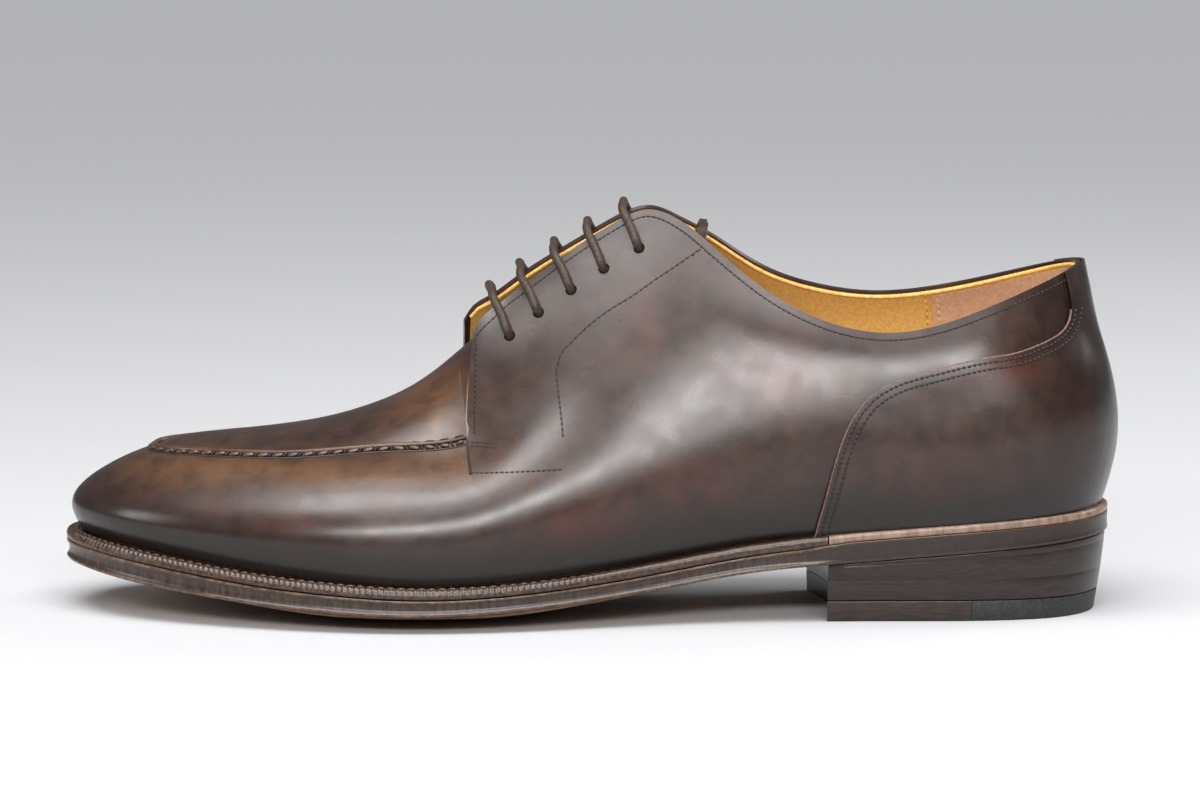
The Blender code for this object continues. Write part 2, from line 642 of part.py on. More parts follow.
def joint_stations():
    """s on each side where the heel's side crosses the joint of tip and top piece."""
    found = {}
    for side in (1, -1):
        samples = np.arange(*JOINT_SEARCH)
        xs = [heel_ring(0, [side * s])[0][0] for s in samples]
        found[side] = float(np.interp(TIP_JOINT_X, xs, samples))
    return found


def heel(parts):
    """Leather lifts, and below them the top piece and its rubber tip."""
    around = np.linspace(-BREAST_S[-1], BREAST_S[1], HEEL_STATIONS)
    joint_s = joint_stations()

    def whole(height):
        ring = heel_ring(height, around)
        return ring + breast_line(ring[-1], ring[0])

    def rear(height):
        kept = [s for s in around if 1 - joint_s[-1] < s < joint_s[1] - 1]
        ring = heel_ring(height, kept)
        x = TIP_JOINT_X - GAP
        return ring + [(x, ring[-1][1]), (x, ring[0][1])]

    def front(height):
        outer = heel_ring(height, [s for s in around if s > joint_s[1]])
        inner = heel_ring(height, [s for s in around if s < -joint_s[-1]])
        ring = outer + breast_line(outer[-1], inner[0]) + inner
        return ring + [(TIP_JOINT_X, inner[-1][1]), (TIP_JOINT_X, outer[0][1])]

    heel_slab("heel_stack", lambda x: HEEL_LIFT + GAP, lambda x: sole_bottom(x, 1) - GAP, whole, parts)
    heel_slab("heel_tip", lambda x: 0.0, lambda x: HEEL_LIFT, rear, parts)
    heel_slab("top_piece", lambda x: 0.0, lambda x: HEEL_LIFT, front, parts)


def facing_spot(s, inset, lift):
    """A point that lies on the facing below its edge, lifted off the leather."""
    lengths = rib(round(float(s), 6))[1]
    t = np.interp(lengths[-1] - inset, lengths, range(len(lengths)))
    return wall_skin(s, float(t), lift)


def half_bar(side, s, inset):
    """Three points of a lace bar on one facing: eyelet, half way, and over the edge."""
    lift = LACE_RADIUS + GAP
    eyelet = facing_spot(side * s, inset, lift)
    stations = np.arange(s - EDGE_SEARCH, FACING_FRONT, 0.1)[::-1]
    edge_x = [rim_line(side * at)[0] for at in stations]
    edge_s = float(np.interp(eyelet[0] + LACE_LEAD, edge_x[::-1], stations[::-1]))
    half_way = facing_spot(side * (s + edge_s) / 2, inset / 2, lift + LACE_HALF_LIFT)
    return [eyelet, half_way, facing_spot(side * edge_s, EDGE_INSET, lift + LACE_EDGE_LIFT)]


def lace_bars(parts):
    """Five straight bars, each over both facings from eyelet to eyelet."""
    for number, (s, inset) in enumerate(EYELETS, 1):
        outer, inner = (half_bar(side, s, inset) for side in (1, -1))
        crest = (outer[-1] + inner[-1]) / 2 + np.array((LACE_CREST_LEAD, 0, LACE_ARCH))
        points = outer + [crest] + inner[::-1]
        route = Spline(range(len(points)), points)
        name = f"lace_bar_{number}"
        data = bpy.data.curves.new(name, "CURVE")
        data.dimensions = "3D"
        data.bevel_depth = LACE_RADIUS * MM
        data.bevel_resolution = 2
        data.use_fill_caps = True
        strand = data.splines.new("POLY")
        stops = np.linspace(0, len(points) - 1, 2 * len(points) - 1)
        strand.points.add(len(stops) - 1)
        for point, stop in zip(strand.points, stops):
            point.co = (*to_metres(route(stop)), 1)
        new_object(name, data, parts)


def build():
    for old in list(bpy.data.objects):
        bpy.data.objects.remove(old, do_unlink=True)
    parts = bpy.data.collections.new("apron_toe_derby")
    guides = bpy.data.collections.new("cutters")
    for collection in (parts, guides):
        bpy.context.scene.collection.children.link(collection)
    upper(parts)
    counter(parts, guides)
    tongue(parts)
    plate("insole", insole_edge, insole_top, insole_bottom, parts)
    plate("outsole", sole_edge, sole_top, sole_bottom, parts)
    welt_and_rand(parts)
    heel(parts)
    lace_bars(parts)


build()
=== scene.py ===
"""The finish of one apron toe derby, a left shoe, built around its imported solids.

+X runs from heel to toe, +Y to the outer side of the foot and +Z up. Tables and sizes are in
millimetres and become metres where a mesh is made. The last is one function of two numbers: s goes
round the shoe, 0 at the heel's back and 100 at the tip of the toe, positive on the outer side; t
climbs a rib: 0 feather line, 1 widest line, 2 shoulder, 3 flank or apron seam, 4 instep, 5 topline.
"""
import math
import random
from functools import lru_cache

import bmesh
import bpy
import numpy as np
from mathutils import Matrix, Vector


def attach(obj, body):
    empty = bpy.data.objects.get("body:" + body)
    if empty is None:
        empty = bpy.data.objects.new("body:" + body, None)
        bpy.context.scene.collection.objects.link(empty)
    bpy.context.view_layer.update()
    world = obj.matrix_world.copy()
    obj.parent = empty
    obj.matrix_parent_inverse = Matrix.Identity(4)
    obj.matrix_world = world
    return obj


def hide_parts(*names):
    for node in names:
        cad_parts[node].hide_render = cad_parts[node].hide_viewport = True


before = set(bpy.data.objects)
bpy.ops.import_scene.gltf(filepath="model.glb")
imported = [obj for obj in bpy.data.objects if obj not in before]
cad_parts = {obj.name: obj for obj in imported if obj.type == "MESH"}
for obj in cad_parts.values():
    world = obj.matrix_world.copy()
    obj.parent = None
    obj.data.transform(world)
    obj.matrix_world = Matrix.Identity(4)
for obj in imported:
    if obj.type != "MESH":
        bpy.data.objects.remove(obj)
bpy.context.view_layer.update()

MM = 0.001

# The last, as in the solids. feather: x and y. widest, shoulder: how far out of the feather line,
# and height. flank, instep: x, y and height.
SECTION = ("s", "feather_x", "feather_y", "widest_out", "widest_z", "shoulder_out", "shoulder_z",
           "flank_x", "flank_y", "flank_z", "instep_x", "instep_y", "instep_z")
HEEL_BACK = (0, -148.4, 0, 4.4, 50, 1.5, 73, -146.6, 0, 84, -144.6, 0, 93)
OUTER_SECTIONS = (
    (7, -139.5, 21.0, 4.3, 50, 1.6, 72, -138.2, 18.6, 82.5, -137.2, 16.6, 91),
    (14, -118, 30.2, 4.4, 49, 2.2, 69, -117.3, 30.4, 77, -116.5, 28.3, 84),
    (22, -90, 31.3, 4.8, 48, 3.6, 62, -90, 33.4, 70.5, -90, 31.4, 77.5),
    (31, -60, 31.6, 5.8, 46, 4.4, 62, -60, 33.2, 73, -60, 30.4, 81.5),
    (39.6, -30, 34.6, 6.0, 40, 3.6, 58, -31, 33.2, 75, -32.5, 26.5, 92),
    (48.5, 0, 41.6, 4.6, 31, 1.0, 50, 0, 33.5, 68, -3, 21.5, 90),
    (53, 16.5, 45.6, 3.6, 28, -0.8, 44.5, 17.5, 32, 60.5, 16.3, 21.3, 79.5),
    (58, 33, 48.2, 2.8, 25, -2.4, 39.5, 35.2, 29.4, 52.6, 35.0, 20.8, 68.5),
    (64.6, 55.5, 48.9, 2.3, 24.5, -3.2, 37.5, 56, 26.8, 49.8, 56, 14, 57.5),
    (73.5, 85, 43.2, 2.4, 25.5, -3.6, 37.2, 84.5, 22.8, 47.3, 83, 9, 51.8),
    (82.5, 113.5, 32.4, 2.5, 27, -4.2, 37.5, 107.5, 15.6, 46.8, 100, 5.5, 50.4),
    (89.8, 134, 20.2, 2.6, 28.5, -5.0, 38.3, 120.5, 8.2, 46.5, 113, 2.0, 49.6),
    (94.9, 145, 8.4, 2.6, 29.5, -5.6, 39, 126.6, 2.0, 46.4, 117, -0.8, 49.4),
)
INNER_SECTIONS = (
    (7, -139.5, -21.0, 4.3, 50, 1.6, 72, -138.2, -18.6, 83, -137.2, -16.6, 91.5),
    (14, -118, -30.0, 4.4, 50, 2.2, 70, -117.3, -29.9, 79.5, -116.4, -27.7, 87.5),
    (22, -90, -30.2, 5.2, 50, 4.2, 65, -90, -32.2, 74.5, -90, -30.3, 83),
    (31, -60, -26.4, 8.6, 49, 8.6, 63, -60, -33.0, 76, -60, -30.0, 85.5),
    (39.6, -30, -23.4, 12.5, 46, 13.2, 60, -31, -33.4, 77, -33, -27.0, 93.5),
    (48.5, 0, -29.6, 9.5, 40, 8.6, 56, 0, -31.8, 74, -3, -22.5, 92.5),
    (53, 16, -36.8, 6.6, 34.5, 3.6, 50, 17.5, -31.5, 66.5, 17, -23.0, 82.5),
    (58, 34, -44.4, 3.6, 29, -0.8, 43.5, 38, -31.0, 55, 38, -23.5, 70.5),
    (64.6, 56, -49.2, 2.4, 26.5, -3.0, 40, 57, -31.2, 51.4, 56, -18.5, 58.5),
    (73.5, 86, -48.2, 2.3, 26.5, -3.8, 39, 84.5, -30.0, 49.0, 82.5, -15, 53.2),
    (82.5, 115, -41.8, 2.5, 27.5, -4.6, 38.5, 107.5, -24.2, 47.7, 100, -13.2, 51),
    (89.8, 135.5, -31.2, 2.6, 29, -5.2, 39, 120.5, -16.8, 47.1, 113, -10.6, 49.8),
    (94.9, 145.8, -20.4, 2.6, 29.8, -5.6, 39.4, 126.6, -11.2, 46.8, 117, -7.6, 49.4),
)
TOE_SECTION = (100, 150, -5, 2.6, 30, -6, 39.6, 128.5, -4.8, 46.4, 118, -4.2, 49.4)

# Topline and facing edges, from the heel's back to the facing's front corner: s, x, y, z
RIM_BACK = (0, -142.7, 0, 101.7)
OUTER_RIM = (
    (7, -136.0, 14.5, 99.0), (14, -115.5, 25.6, 90.9), (22, -90, 28.6, 83.5),
    (27, -74, 28.2, 84.5), (31, -61, 26.4, 89.0), (35.5, -47.7, 23.0, 96.9),
    (39.6, -35.5, 18.6, 106.9), (43, -26, 13.6, 114.2), (45.5, -17.5, 9.2, 117.1),
    (48.5, -7.5, 8.0, 113.5), (52, 6, 8.6, 104.9), (55, 20, 9.7, 94.6),
    (56.6, 27.6, 10.9, 89.1), (57.5, 31.8, 12.2, 85.4), (58, 33.9, 13.6, 82.0),
)
INNER_RIM = (
    (7, -135.8, -14.5, 100.0), (14, -115.2, -24.8, 94.4), (22, -90, -27.5, 90.3),
    (27, -75, -27.0, 91.0), (31, -61, -25.4, 94.2), (35.5, -47.5, -22.3, 100.4),
    (39.6, -35.5, -18.4, 108.3), (43, -26, -13.8, 113.6), (45.5, -18, -10.2, 116.9),
    (48.5, -8, -9.0, 114.2), (52, 6, -9.8, 106.0), (55, 22, -11.6, 95.7),
    (56.6, 30.4, -13.2, 89.7), (57.5, 35.2, -14.8, 86.3), (58, 37.6, -16.6, 82.4),
)
RIDGE = ((26, 85.0), (36.9, 76.2), (45, 69.4), (54, 63.4), (64, 59.0), (76, 55.3),
         (90, 52.8), (104, 51.3), (116, 50.0), (123, 48.5), (128.5, 46.4))
RIDGE_ENDS = ((62, 38.8), (66, 50), (73.5, 77), (82.5, 95), (89.8, 102.5), (94.9, 106),
              (100, 108))
THROAT_CORNER = {1: (37.8, 12.0), -1: (40.6, -17.0)}
SOLE_LEVEL = ("x", "feather", "edge", "middle")
SOLE_LEVELS = (
    (-152, 31.6, 23.8, 23.8), (-120, 29.6, 21.2, 21.2), (-90, 27.4, 18.8, 18.8),
    (-68, 25.6, 17.0, 17.0), (-45, 23.0, 14.7, 13.4), (-20, 18.9, 10.8, 8.2),
    (5, 15.6, 7.7, 3.4), (30, 13.6, 5.6, 0.0), (50, 13.2, 5.0, 0.0), (72, 14.2, 5.7, 0.0),
    (95, 16.0, 7.3, 2.9), (118, 18.8, 9.5, 7.0), (138, 21.3, 11.9, 10.9),
    (154, 23.2, 14.2, 14.0),
)
EDGE_WIDTH = ("s", "outer", "inner")
EDGE_WIDTHS = ((0, 3.1, 3.1), (14, 2.3, 2.4), (31, 3.2, 3.0), (44, 3.4, 3.2), (58, 4.4, 3.8),
               (70, 4.8, 4.2), (84, 4.9, 4.8), (100, 4.2, 4.2))
EYELETS = ((55.0, 16.0), (53.1, 16.0), (51.0, 15.8), (48.8, 14.6), (46.1, 12.4))
FACING_FRONT = 58.0
THROAT_END = 62.0
TOE_TIP = 100.0
RIDGE_Y = -3.0
TOE_Y = -4.6
TOE_BEND = (60.0, 128.5)
SEAM_T = 3
INSTEP_T = 4
TOPLINE_T = 5

FINE_S = 0.05                # small steps of s and t, for directions on the wall
FINE_T = 0.02
UP = np.array((0.0, 0.0, 1.0))

# Thicknesses of the leathers, and how the lining's face lies to the last's surface
LEATHER = 1.3
LINING = 0.7
LINING_LIFT = -1.35


class Spline:
    """A cubic curve with steady curvature through rows of values at rising knots."""

    def __init__(self, knots, rows):
        self.knots = np.array(knots, float)
        self.rows = np.array(rows, float)
        steps = np.diff(self.knots)
        count = len(self.knots)
        system = np.eye(count)
        target = np.zeros_like(self.rows)
        slopes = np.diff(self.rows, axis=0) / steps.reshape(-1, *[1] * (self.rows.ndim - 1))
        for i in range(1, count - 1):
            system[i, i - 1:i + 2] = steps[i - 1], 2 * (steps[i - 1] + steps[i]), steps[i]
            target[i] = 6 * (slopes[i] - slopes[i - 1])
        self.bends = np.linalg.solve(system, target.reshape(count, -1)).reshape(target.shape)

    def __call__(self, at):
        at = np.asarray(at, float)
        i = np.clip(np.searchsorted(self.knots, at) - 1, 0, len(self.knots) - 2)
        step = self.knots[i + 1] - self.knots[i]
        b = (at - self.knots[i]) / step
        a = 1 - b
        wide = at.shape + (1,) * (self.rows.ndim - 1)
        bend = ((a ** 3 - a).reshape(wide) * self.bends[i]
                + (b ** 3 - b).reshape(wide) * self.bends[i + 1])
        return (a.reshape(wide) * self.rows[i] + b.reshape(wide) * self.rows[i + 1]
                + bend * (step ** 2 / 6).reshape(wide))


# Small tools for lines and directions

def unit(vectors):
    """A vector, or each row of vectors, with a length of one."""
    return vectors / np.linalg.norm(vectors, axis=-1, keepdims=True)


def square_to(vector, axis):
    """The part of a vector that is square to a unit axis, as a unit vector."""
    return unit(vector - axis * (vector @ axis))


def turned_to(vector, guide):
    """A vector, or its reverse, whichever points to the guide's side."""
    return vector if vector @ guide > 0 else -vector


def lengths_along(points):
    """Distance of each point from the first one, along the line through all of them."""
    steps = np.linalg.norm(np.diff(points, axis=0), axis=1)
    return np.concatenate(([0], np.cumsum(steps)))


def row_at(at, knots, rows):
    """Values between the rows of a table, with rows at rising knots."""
    return np.array([np.interp(at, knots, rows[:, k]) for k in range(rows.shape[1])])


def past_toe(run):
    """s of stations that run on past the tip of the toe, onto the inner side."""
    return np.where(run > TOE_TIP, run - 2 * TOE_TIP, run)


# Lines of the last

def ring_spline(columns):
    """One closed curve round the shoe through the section table's named columns."""
    picks = [SECTION.index(name) for name in columns]
    ring = [(-row[0],) + row[1:] for row in reversed(INNER_SECTIONS)]
    ring += [HEEL_BACK, *OUTER_SECTIONS, TOE_SECTION]
    turn = 2 * TOE_TIP
    before = [(row[0] - turn,) + row[1:] for row in ring[-5:]]
    after = [(row[0] + turn,) + row[1:] for row in ring[:5]]
    rows = before + ring + after
    return Spline([row[0] for row in rows], [[row[i] for i in picks] for row in rows])


def side_spline(table, column):
    """A column of a table against s, even about the heel's back."""
    rows = [(-row[0], row[column]) for row in reversed(table[1:])]
    rows += [(row[0], row[column]) for row in table]
    return Spline([row[0] for row in rows], [row[1] for row in rows])


feather_line = ring_spline(("feather_x", "feather_y"))
widest_line = ring_spline(("widest_out", "widest_z"))
shoulder_line = ring_spline(("shoulder_out", "shoulder_z"))
flank_line = ring_spline(("flank_x", "flank_y", "flank_z"))
instep_line = ring_spline(("instep_x", "instep_y", "instep_z"))
rim_rows = [(-row[0],) + row[1:] for row in reversed(INNER_RIM)] + [RIM_BACK, *OUTER_RIM]
rim_line = Spline([row[0] for row in rim_rows], [row[1:] for row in rim_rows])
ridge_height = Spline(*zip(*RIDGE))
ridge_end = Spline(*zip(*RIDGE_ENDS))
level_at = Spline([row[0] for row in SOLE_LEVELS], [row[1:] for row in SOLE_LEVELS])
edge_width = {1: side_spline(EDGE_WIDTHS, EDGE_WIDTH.index("outer")),
              -1: side_spline(EDGE_WIDTHS, EDGE_WIDTH.index("inner"))}


def side_of(s):
    return 1 if s >= 0 else -1


def outward(s):
    """Unit vector in plan that points out of the feather line."""
    run = unit(feather_line(s + FINE_S) - feather_line(s - FINE_S))
    return np.array((-run[1], run[0]))


def sole_level(x, name):
    return level_at(x)[..., SOLE_LEVEL.index(name) - 1]


def from_feather(s, out):
    return feather_line(s) + outward(s) * out


@lru_cache(maxsize=None)
def rib(s):
    """The wall's rib at s, as a curve over its own length, and that length at each level."""
    foot = feather_line(s)
    points = [(*foot, sole_level(foot[0], "feather"))]
    for line in (widest_line, shoulder_line):
        out, height = line(s)
        points.append((*from_feather(s, out), height))
    points.append(tuple(flank_line(s)))
    points.append(tuple(instep_line(s)))
    if abs(s) <= FACING_FRONT:
        points.append(tuple(rim_line(s)))
    lengths = lengths_along(points)
    return Spline(lengths, points), lengths


def wall(s, t):
    """Points of the wall at one s and one or more t."""
    curve, lengths = rib(round(float(s), 5))
    return curve(np.interp(t, range(len(lengths)), lengths))


def wall_normal(s, t):
    """Unit normals out of the wall."""
    low, high = s - FINE_S, s + FINE_S
    if abs(s) <= FACING_FRONT < abs(s) + FINE_S:
        low, high = (low, s) if s > 0 else (s, high)
    top = TOPLINE_T if abs(s) <= FACING_FRONT else INSTEP_T
    t = np.asarray(t, float)
    along = wall(high, t) - wall(low, t)
    up = wall(s, np.minimum(t + FINE_T, top)) - wall(s, np.maximum(t - FINE_T, 0))
    return unit(np.cross(up, along))


def wall_skin(s, t, lift=0.0):
    points = wall(s, t)
    return points + wall_normal(s, t) * lift if lift else points


def crown_from(s):
    """The least r of a rib: above 0 where it ends on the throat's front edge."""
    if abs(s) >= THROAT_END:
        return 0.0
    reach = (THROAT_CORNER[side_of(s)][1] - RIDGE_Y) / (flank_line(s)[1] - RIDGE_Y)
    return reach * (THROAT_END - abs(s)) / (THROAT_END - FACING_FRONT)


def crown(s, r):
    """Vamp and apron between the seam, r = 1, and the ridge, r = 0."""
    r = np.asarray(r, float)
    seam = wall(s, SEAM_T)
    end_x = float(ridge_end(max(abs(s), THROAT_END)))
    if abs(s) < THROAT_END:
        share = (abs(s) - FACING_FRONT) / (THROAT_END - FACING_FRONT)
        edge_x = THROAT_CORNER[side_of(s)][0] * (1 - share) + end_x * share
        least = crown_from(s)
        end_x = (edge_x - seam[0] * least) / (1 - least)
    toe_share = np.clip((seam[0] - TOE_BEND[0]) / (TOE_BEND[1] - TOE_BEND[0]), 0, 1) ** 2
    ridge_y = RIDGE_Y + (TOE_Y - RIDGE_Y) * toe_share
    x = end_x + (seam[0] - end_x) * r
    y = ridge_y + (seam[1] - ridge_y) * r
    drop = ridge_height(seam[0]) - seam[2]
    return np.stack((x, y, ridge_height(x) - drop * r ** 2), axis=-1)


# Small tools for meshes

def deselect():
    bpy.ops.object.select_all(action="DESELECT")
    bpy.context.view_layer.objects.active = None


def only(piece):
    deselect()
    piece.select_set(True)
    bpy.context.view_layer.objects.active = piece


def apply_modifiers(piece):
    only(piece)
    for modifier in list(piece.modifiers):
        bpy.ops.object.modifier_apply(modifier=modifier.name)
    deselect()


def piece_of(name, data):
    piece = bpy.data.objects.new(name, data)
    bpy.context.scene.collection.objects.link(piece)
    return piece


def mesh_of(name, points, faces):
    """A mesh from points in millimetres."""
    mesh = bpy.data.meshes.new(name)
    mesh.from_pydata((np.asarray(points) * MM).tolist(), [], faces)
    mesh.update()
    return mesh


def add_values(piece, values):
    """Named values on a piece's points, which its materials read."""
    for name, numbers in values.items():
        layer = piece.data.attributes.new(name, "FLOAT", "POINT")
        layer.data.foreach_set("value", np.asarray(numbers, np.float32))


def grid_faces(rows, columns, start=0, round_columns=False, flip=False):
    """Faces of a grid of points that is stored row by row."""
    faces = []
    for i in range(rows - 1):
        for j in range(columns if round_columns else columns - 1):
            a = start + i * columns + j
            b = start + i * columns + (j + 1) % columns
            c = b + columns
            d = a + columns
            faces.append((a, d, c, b) if flip else (a, b, c, d))
    return faces


def weld(piece, distance=0.02, outward_from_volume=False):
    """Join points that coincide; a closed shape then has its faces turned outwards."""
    shape = bmesh.new()
    shape.from_mesh(piece.data)
    bmesh.ops.remove_doubles(shape, verts=shape.verts[:], dist=distance * MM)
    bmesh.ops.dissolve_degenerate(shape, edges=shape.edges[:], dist=distance * MM / 4)
    if outward_from_volume:
        bmesh.ops.recalc_face_normals(shape, faces=shape.faces[:])
        if shape.calc_volume(signed=True) < 0:
            bmesh.ops.reverse_faces(shape, faces=shape.faces[:])
    shape.to_mesh(piece.data)
    shape.free()


def smooth(piece, angle=50):
    only(piece)
    bpy.ops.object.shade_smooth_by_angle(angle=math.radians(angle), keep_sharp_edges=False)
    deselect()


def dress(piece, materials, slot, *nodes, angle=None):
    """Give a finished piece its materials, and hide the solids that it stands for.

    slot is not used. Its faces are shaded as one smooth surface where they meet by less than the angle."""
    for material in materials:
        piece.data.materials.append(material)
    if angle:
        smooth(piece, angle)
    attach(piece, "root")
    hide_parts(*nodes)


def thicken(piece, thickness, rim_material=0):
    """A wall inwards from a skin, with its edges in their own material."""
    wall_modifier = piece.modifiers.new("wall", "SOLIDIFY")
    wall_modifier.thickness = thickness * MM
    wall_modifier.offset = -1
    wall_modifier.material_offset_rim = rim_material
    apply_modifiers(piece)


def cut_by(piece, guide, operation):
    """An exact cut of a piece by a closed guide."""
    cut = piece.modifiers.new("cut", "BOOLEAN")
    cut.operation = operation
    cut.solver = "EXACT"
    cut.object = guide
    apply_modifiers(piece)


def sweep(name, sections):
    """A closed body through rings of points, each ring as long as the next."""
    sections = np.asarray(sections)
    rings, around = sections.shape[:2]
    faces = grid_faces(rings, around, round_columns=True)
    faces.append(tuple(reversed(range(around))))
    faces.append(tuple(range((rings - 1) * around, rings * around)))
    piece = piece_of(name, mesh_of(name, sections.reshape(-1, 3), faces))
    weld(piece, outward_from_volume=True)
    return piece


def tube(points, radius, sides=8):
    """Rings of a round cord along points. radius may change from point to point."""
    points = np.asarray(points, float)
    radius = np.broadcast_to(radius, len(points))
    run = unit(np.gradient(points, axis=0))
    side = np.cross(run[0], UP)
    if np.linalg.norm(side) < 0.1:
        side = np.cross(run[0], (0, 1, 0))
    normals = [unit(side)]
    for direction in run[1:]:
        normals.append(square_to(normals[-1], direction))
    normals = np.asarray(normals)
    other = np.cross(run, normals)
    angles = np.linspace(0, 2 * math.pi, sides, endpoint=False)[None, :, None]
    ring = np.cos(angles) * normals[:, None] + np.sin(angles) * other[:, None]
    return points[:, None] + ring * radius[:, None, None]


# Stations of the upper's mesh, and of its edges

def stations(start, end, step):
    return np.linspace(start, end, max(2, round(abs(end - start) / step) + 1))


WALL_ROWS = np.concatenate((stations(0, 2.7, 0.055), stations(2.74, 3, 0.04)))
QUARTER_ROWS = np.concatenate((stations(3.03, 4.85, 0.04), (4.9, 4.95, 4.98, 5.0)))
CROWN_EDGE = (0.5, 1.0, 1.6, 2.2, 3.0, 4.0)     # distances in from the seam
CROWN_ROWS = 16
QUARTER_STATIONS = np.concatenate((stations(0, 56, 0.5), (56.5, 57, 57.4, 57.7, 57.88, 58)))
FOREPART_STATIONS = np.concatenate((stations(58, 90, 0.5), stations(90.3, 100, 0.35)))
QUARTER_TAN = 0.3            # the quarters have less of the tan patches

# How the vamp runs on under the facings, and sinks there
UNDERLAP = 13.0
UNDERLAP_ROWS = 14
HIDDEN_BY = 4.5              # on the ridge it is out of sight from here backwards
SINK_SOON = (1.9, 3.0)       # depth, and the run in which it is reached
SINK_LATER = (1.6, 8.0)
SINK_SLOPE = 0.7
SINK_ASIDE = (0.35, 0.8)     # shares of the way from ridge to seam between which it starts to sink

# Soft colour patches of the upper: x and height of the middle, reach along and up, strength
RED_PATCHES = ((1, 27, 12, 9, 0.75), (-55, 70, 14, 8, 0.8), (-119, 72, 9, 5, 0.7),
               (34, 14, 17, 6, 0.7), (-141, 56, 8, 12, 0.5), (-102, 38, 16, 9, 0.35),
               (-14, 86, 7, 9, 0.45), (90, 30, 26, 5, 0.3), (-30, 40, 14, 8, 0.3))
TAN_PATCHES = ((78, 43.5, 46, 3.6, 0.9), (44, 59, 13, 12, 0.75), (22, 46, 17, 5, 0.5),
               (118, 41, 14, 3.5, 0.45))


# Near black parts: painted shade low down, where the wall turns under towards the welt, as heights over
# the sole; and a darker heel and toe, as shares and distances towards them
PAINTED_SHADE_FOOT = (2, 20)
DARK_HEEL = (0.75, 112, 152)
DARK_TOE = (0.55, 132, 153)


def patch_sum(points, patches):
    """Soft patches, alike on the outer and the inner side."""
    total = np.zeros(len(points))
    for x, z, reach_x, reach_z, strength in patches:
        away = ((points[:, 0] - x) / reach_x) ** 2 + ((points[:, 2] - z) / reach_z) ** 2
        total += strength * np.exp(-away)
    return np.clip(total, 0, 1)


def ease(value, low, high):
    share = np.clip((value - low) / (high - low), 0, 1)
    return share * share * (3 - 2 * share)


def burnish_and_shade(points, tan_share=1.0):
    """How dark, tan and red the calf is: near black low down, painted shade where the wall turns under
    towards the welt, and darker on the heel and toe.
    """
    height = points[:, 2] - sole_level(points[:, 0], "feather")
    # painted shade: near black low down, where the wall turns under towards the welt
    dark = 1 - ease(height, *PAINTED_SHADE_FOOT)
    for way, (strength, start, full) in ((-1, DARK_HEEL), (1, DARK_TOE)):
        dark = np.maximum(dark, strength * ease(way * points[:, 0], start, full))
    return {"dark": dark, "tan": patch_sum(points, TAN_PATCHES) * tan_share,
            "red": patch_sum(points, RED_PATCHES)}


def burnish_and_shade_piece(piece, least_tan):
    """The calf's values, painted shade among them, on a closed piece, which is at least as tan as this
    all over.
    """
    values = burnish_and_shade(np.array([point.co for point in piece.data.vertices]) / MM)
    values["tan"] = np.maximum(values["tan"], least_tan)
    add_values(piece, values)


def outer_shell():
    """Vamp, apron and quarters as one skin, with the facings free above the vamp."""
    blocks, faces, tan_shares, start = [], [], [], 0
    for side in (1, -1):
        rows = np.concatenate((WALL_ROWS, QUARTER_ROWS))
        quarter = np.array([wall(side * s, rows) for s in QUARTER_STATIONS])
        forepart = []
        for s in FOREPART_STATIONS:
            low = wall(side * s, WALL_ROWS)
            least = crown_from(side * s)
            length = np.linalg.norm(crown(side * s, 1.0) - crown(side * s, least))
            near = 1 - np.array(CROWN_EDGE) / length * (1 - least)
            far = np.linspace(near[-1], least, CROWN_ROWS)[1:]
            forepart.append(np.concatenate((low, crown(side * s, np.concatenate((near, far))))))
        for grid, tan_share in ((quarter, QUARTER_TAN), (np.array(forepart), 1.0)):
            count, across = grid.shape[:2]
            blocks.append(grid.reshape(-1, 3))
            tan_shares.append(np.full(count * across, tan_share))
            faces += grid_faces(count, across, start, flip=side < 0)
            start += count * across
        faces += underlap(side, blocks, start)
        start += len(blocks[-1])
        tan_shares.append(np.ones(len(blocks[-1])))
    points = np.concatenate(blocks)
    piece = piece_of("upper_leather", mesh_of("upper_leather", points, faces))
    add_values(piece, burnish_and_shade(points, np.concatenate(tan_shares)))
    weld(piece)
    return piece


def underlap(side, blocks, start):
    """The vamp's run under one facing, from its edge in the throat backwards."""
    reach = np.linspace(1, crown_from(side * FACING_FRONT), UNDERLAP_ROWS)
    edge = list(crown(side * FACING_FRONT, reach))
    throat = [s for s in FOREPART_STATIONS if FACING_FRONT < s < THROAT_END] + [THROAT_END]
    edge += [crown(side * s, crown_from(side * s)) for s in throat]
    edge = np.array(edge)
    seam = edge[0]
    drop = float(ridge_height(seam[0]) - seam[2])
    rows = [edge]
    share = (edge[:, 1] - RIDGE_Y) / (seam[1] - RIDGE_Y)
    hidden_from = HIDDEN_BY * (1 - share)
    for back in np.linspace(0, UNDERLAP, UNDERLAP_ROWS)[1:]:
        x = edge[:, 0] - back
        soon = SINK_SOON[0] * ease(back, hidden_from, hidden_from + SINK_SOON[1])
        later = SINK_LATER[0] * share * ease(back, hidden_from, hidden_from + SINK_LATER[1])
        sunk = (soon + later) * ease(share, *SINK_ASIDE)
        sunk += SINK_SLOPE * share ** 2 * np.maximum(back - hidden_from, 0)
        rows.append(np.stack((x, edge[:, 1], ridge_height(x) - drop * share ** 2 - sunk), axis=-1))
    grid = np.array(rows)
    blocks.append(grid.reshape(-1, 3))
    return grid_faces(*grid.shape[:2], start, flip=side > 0)


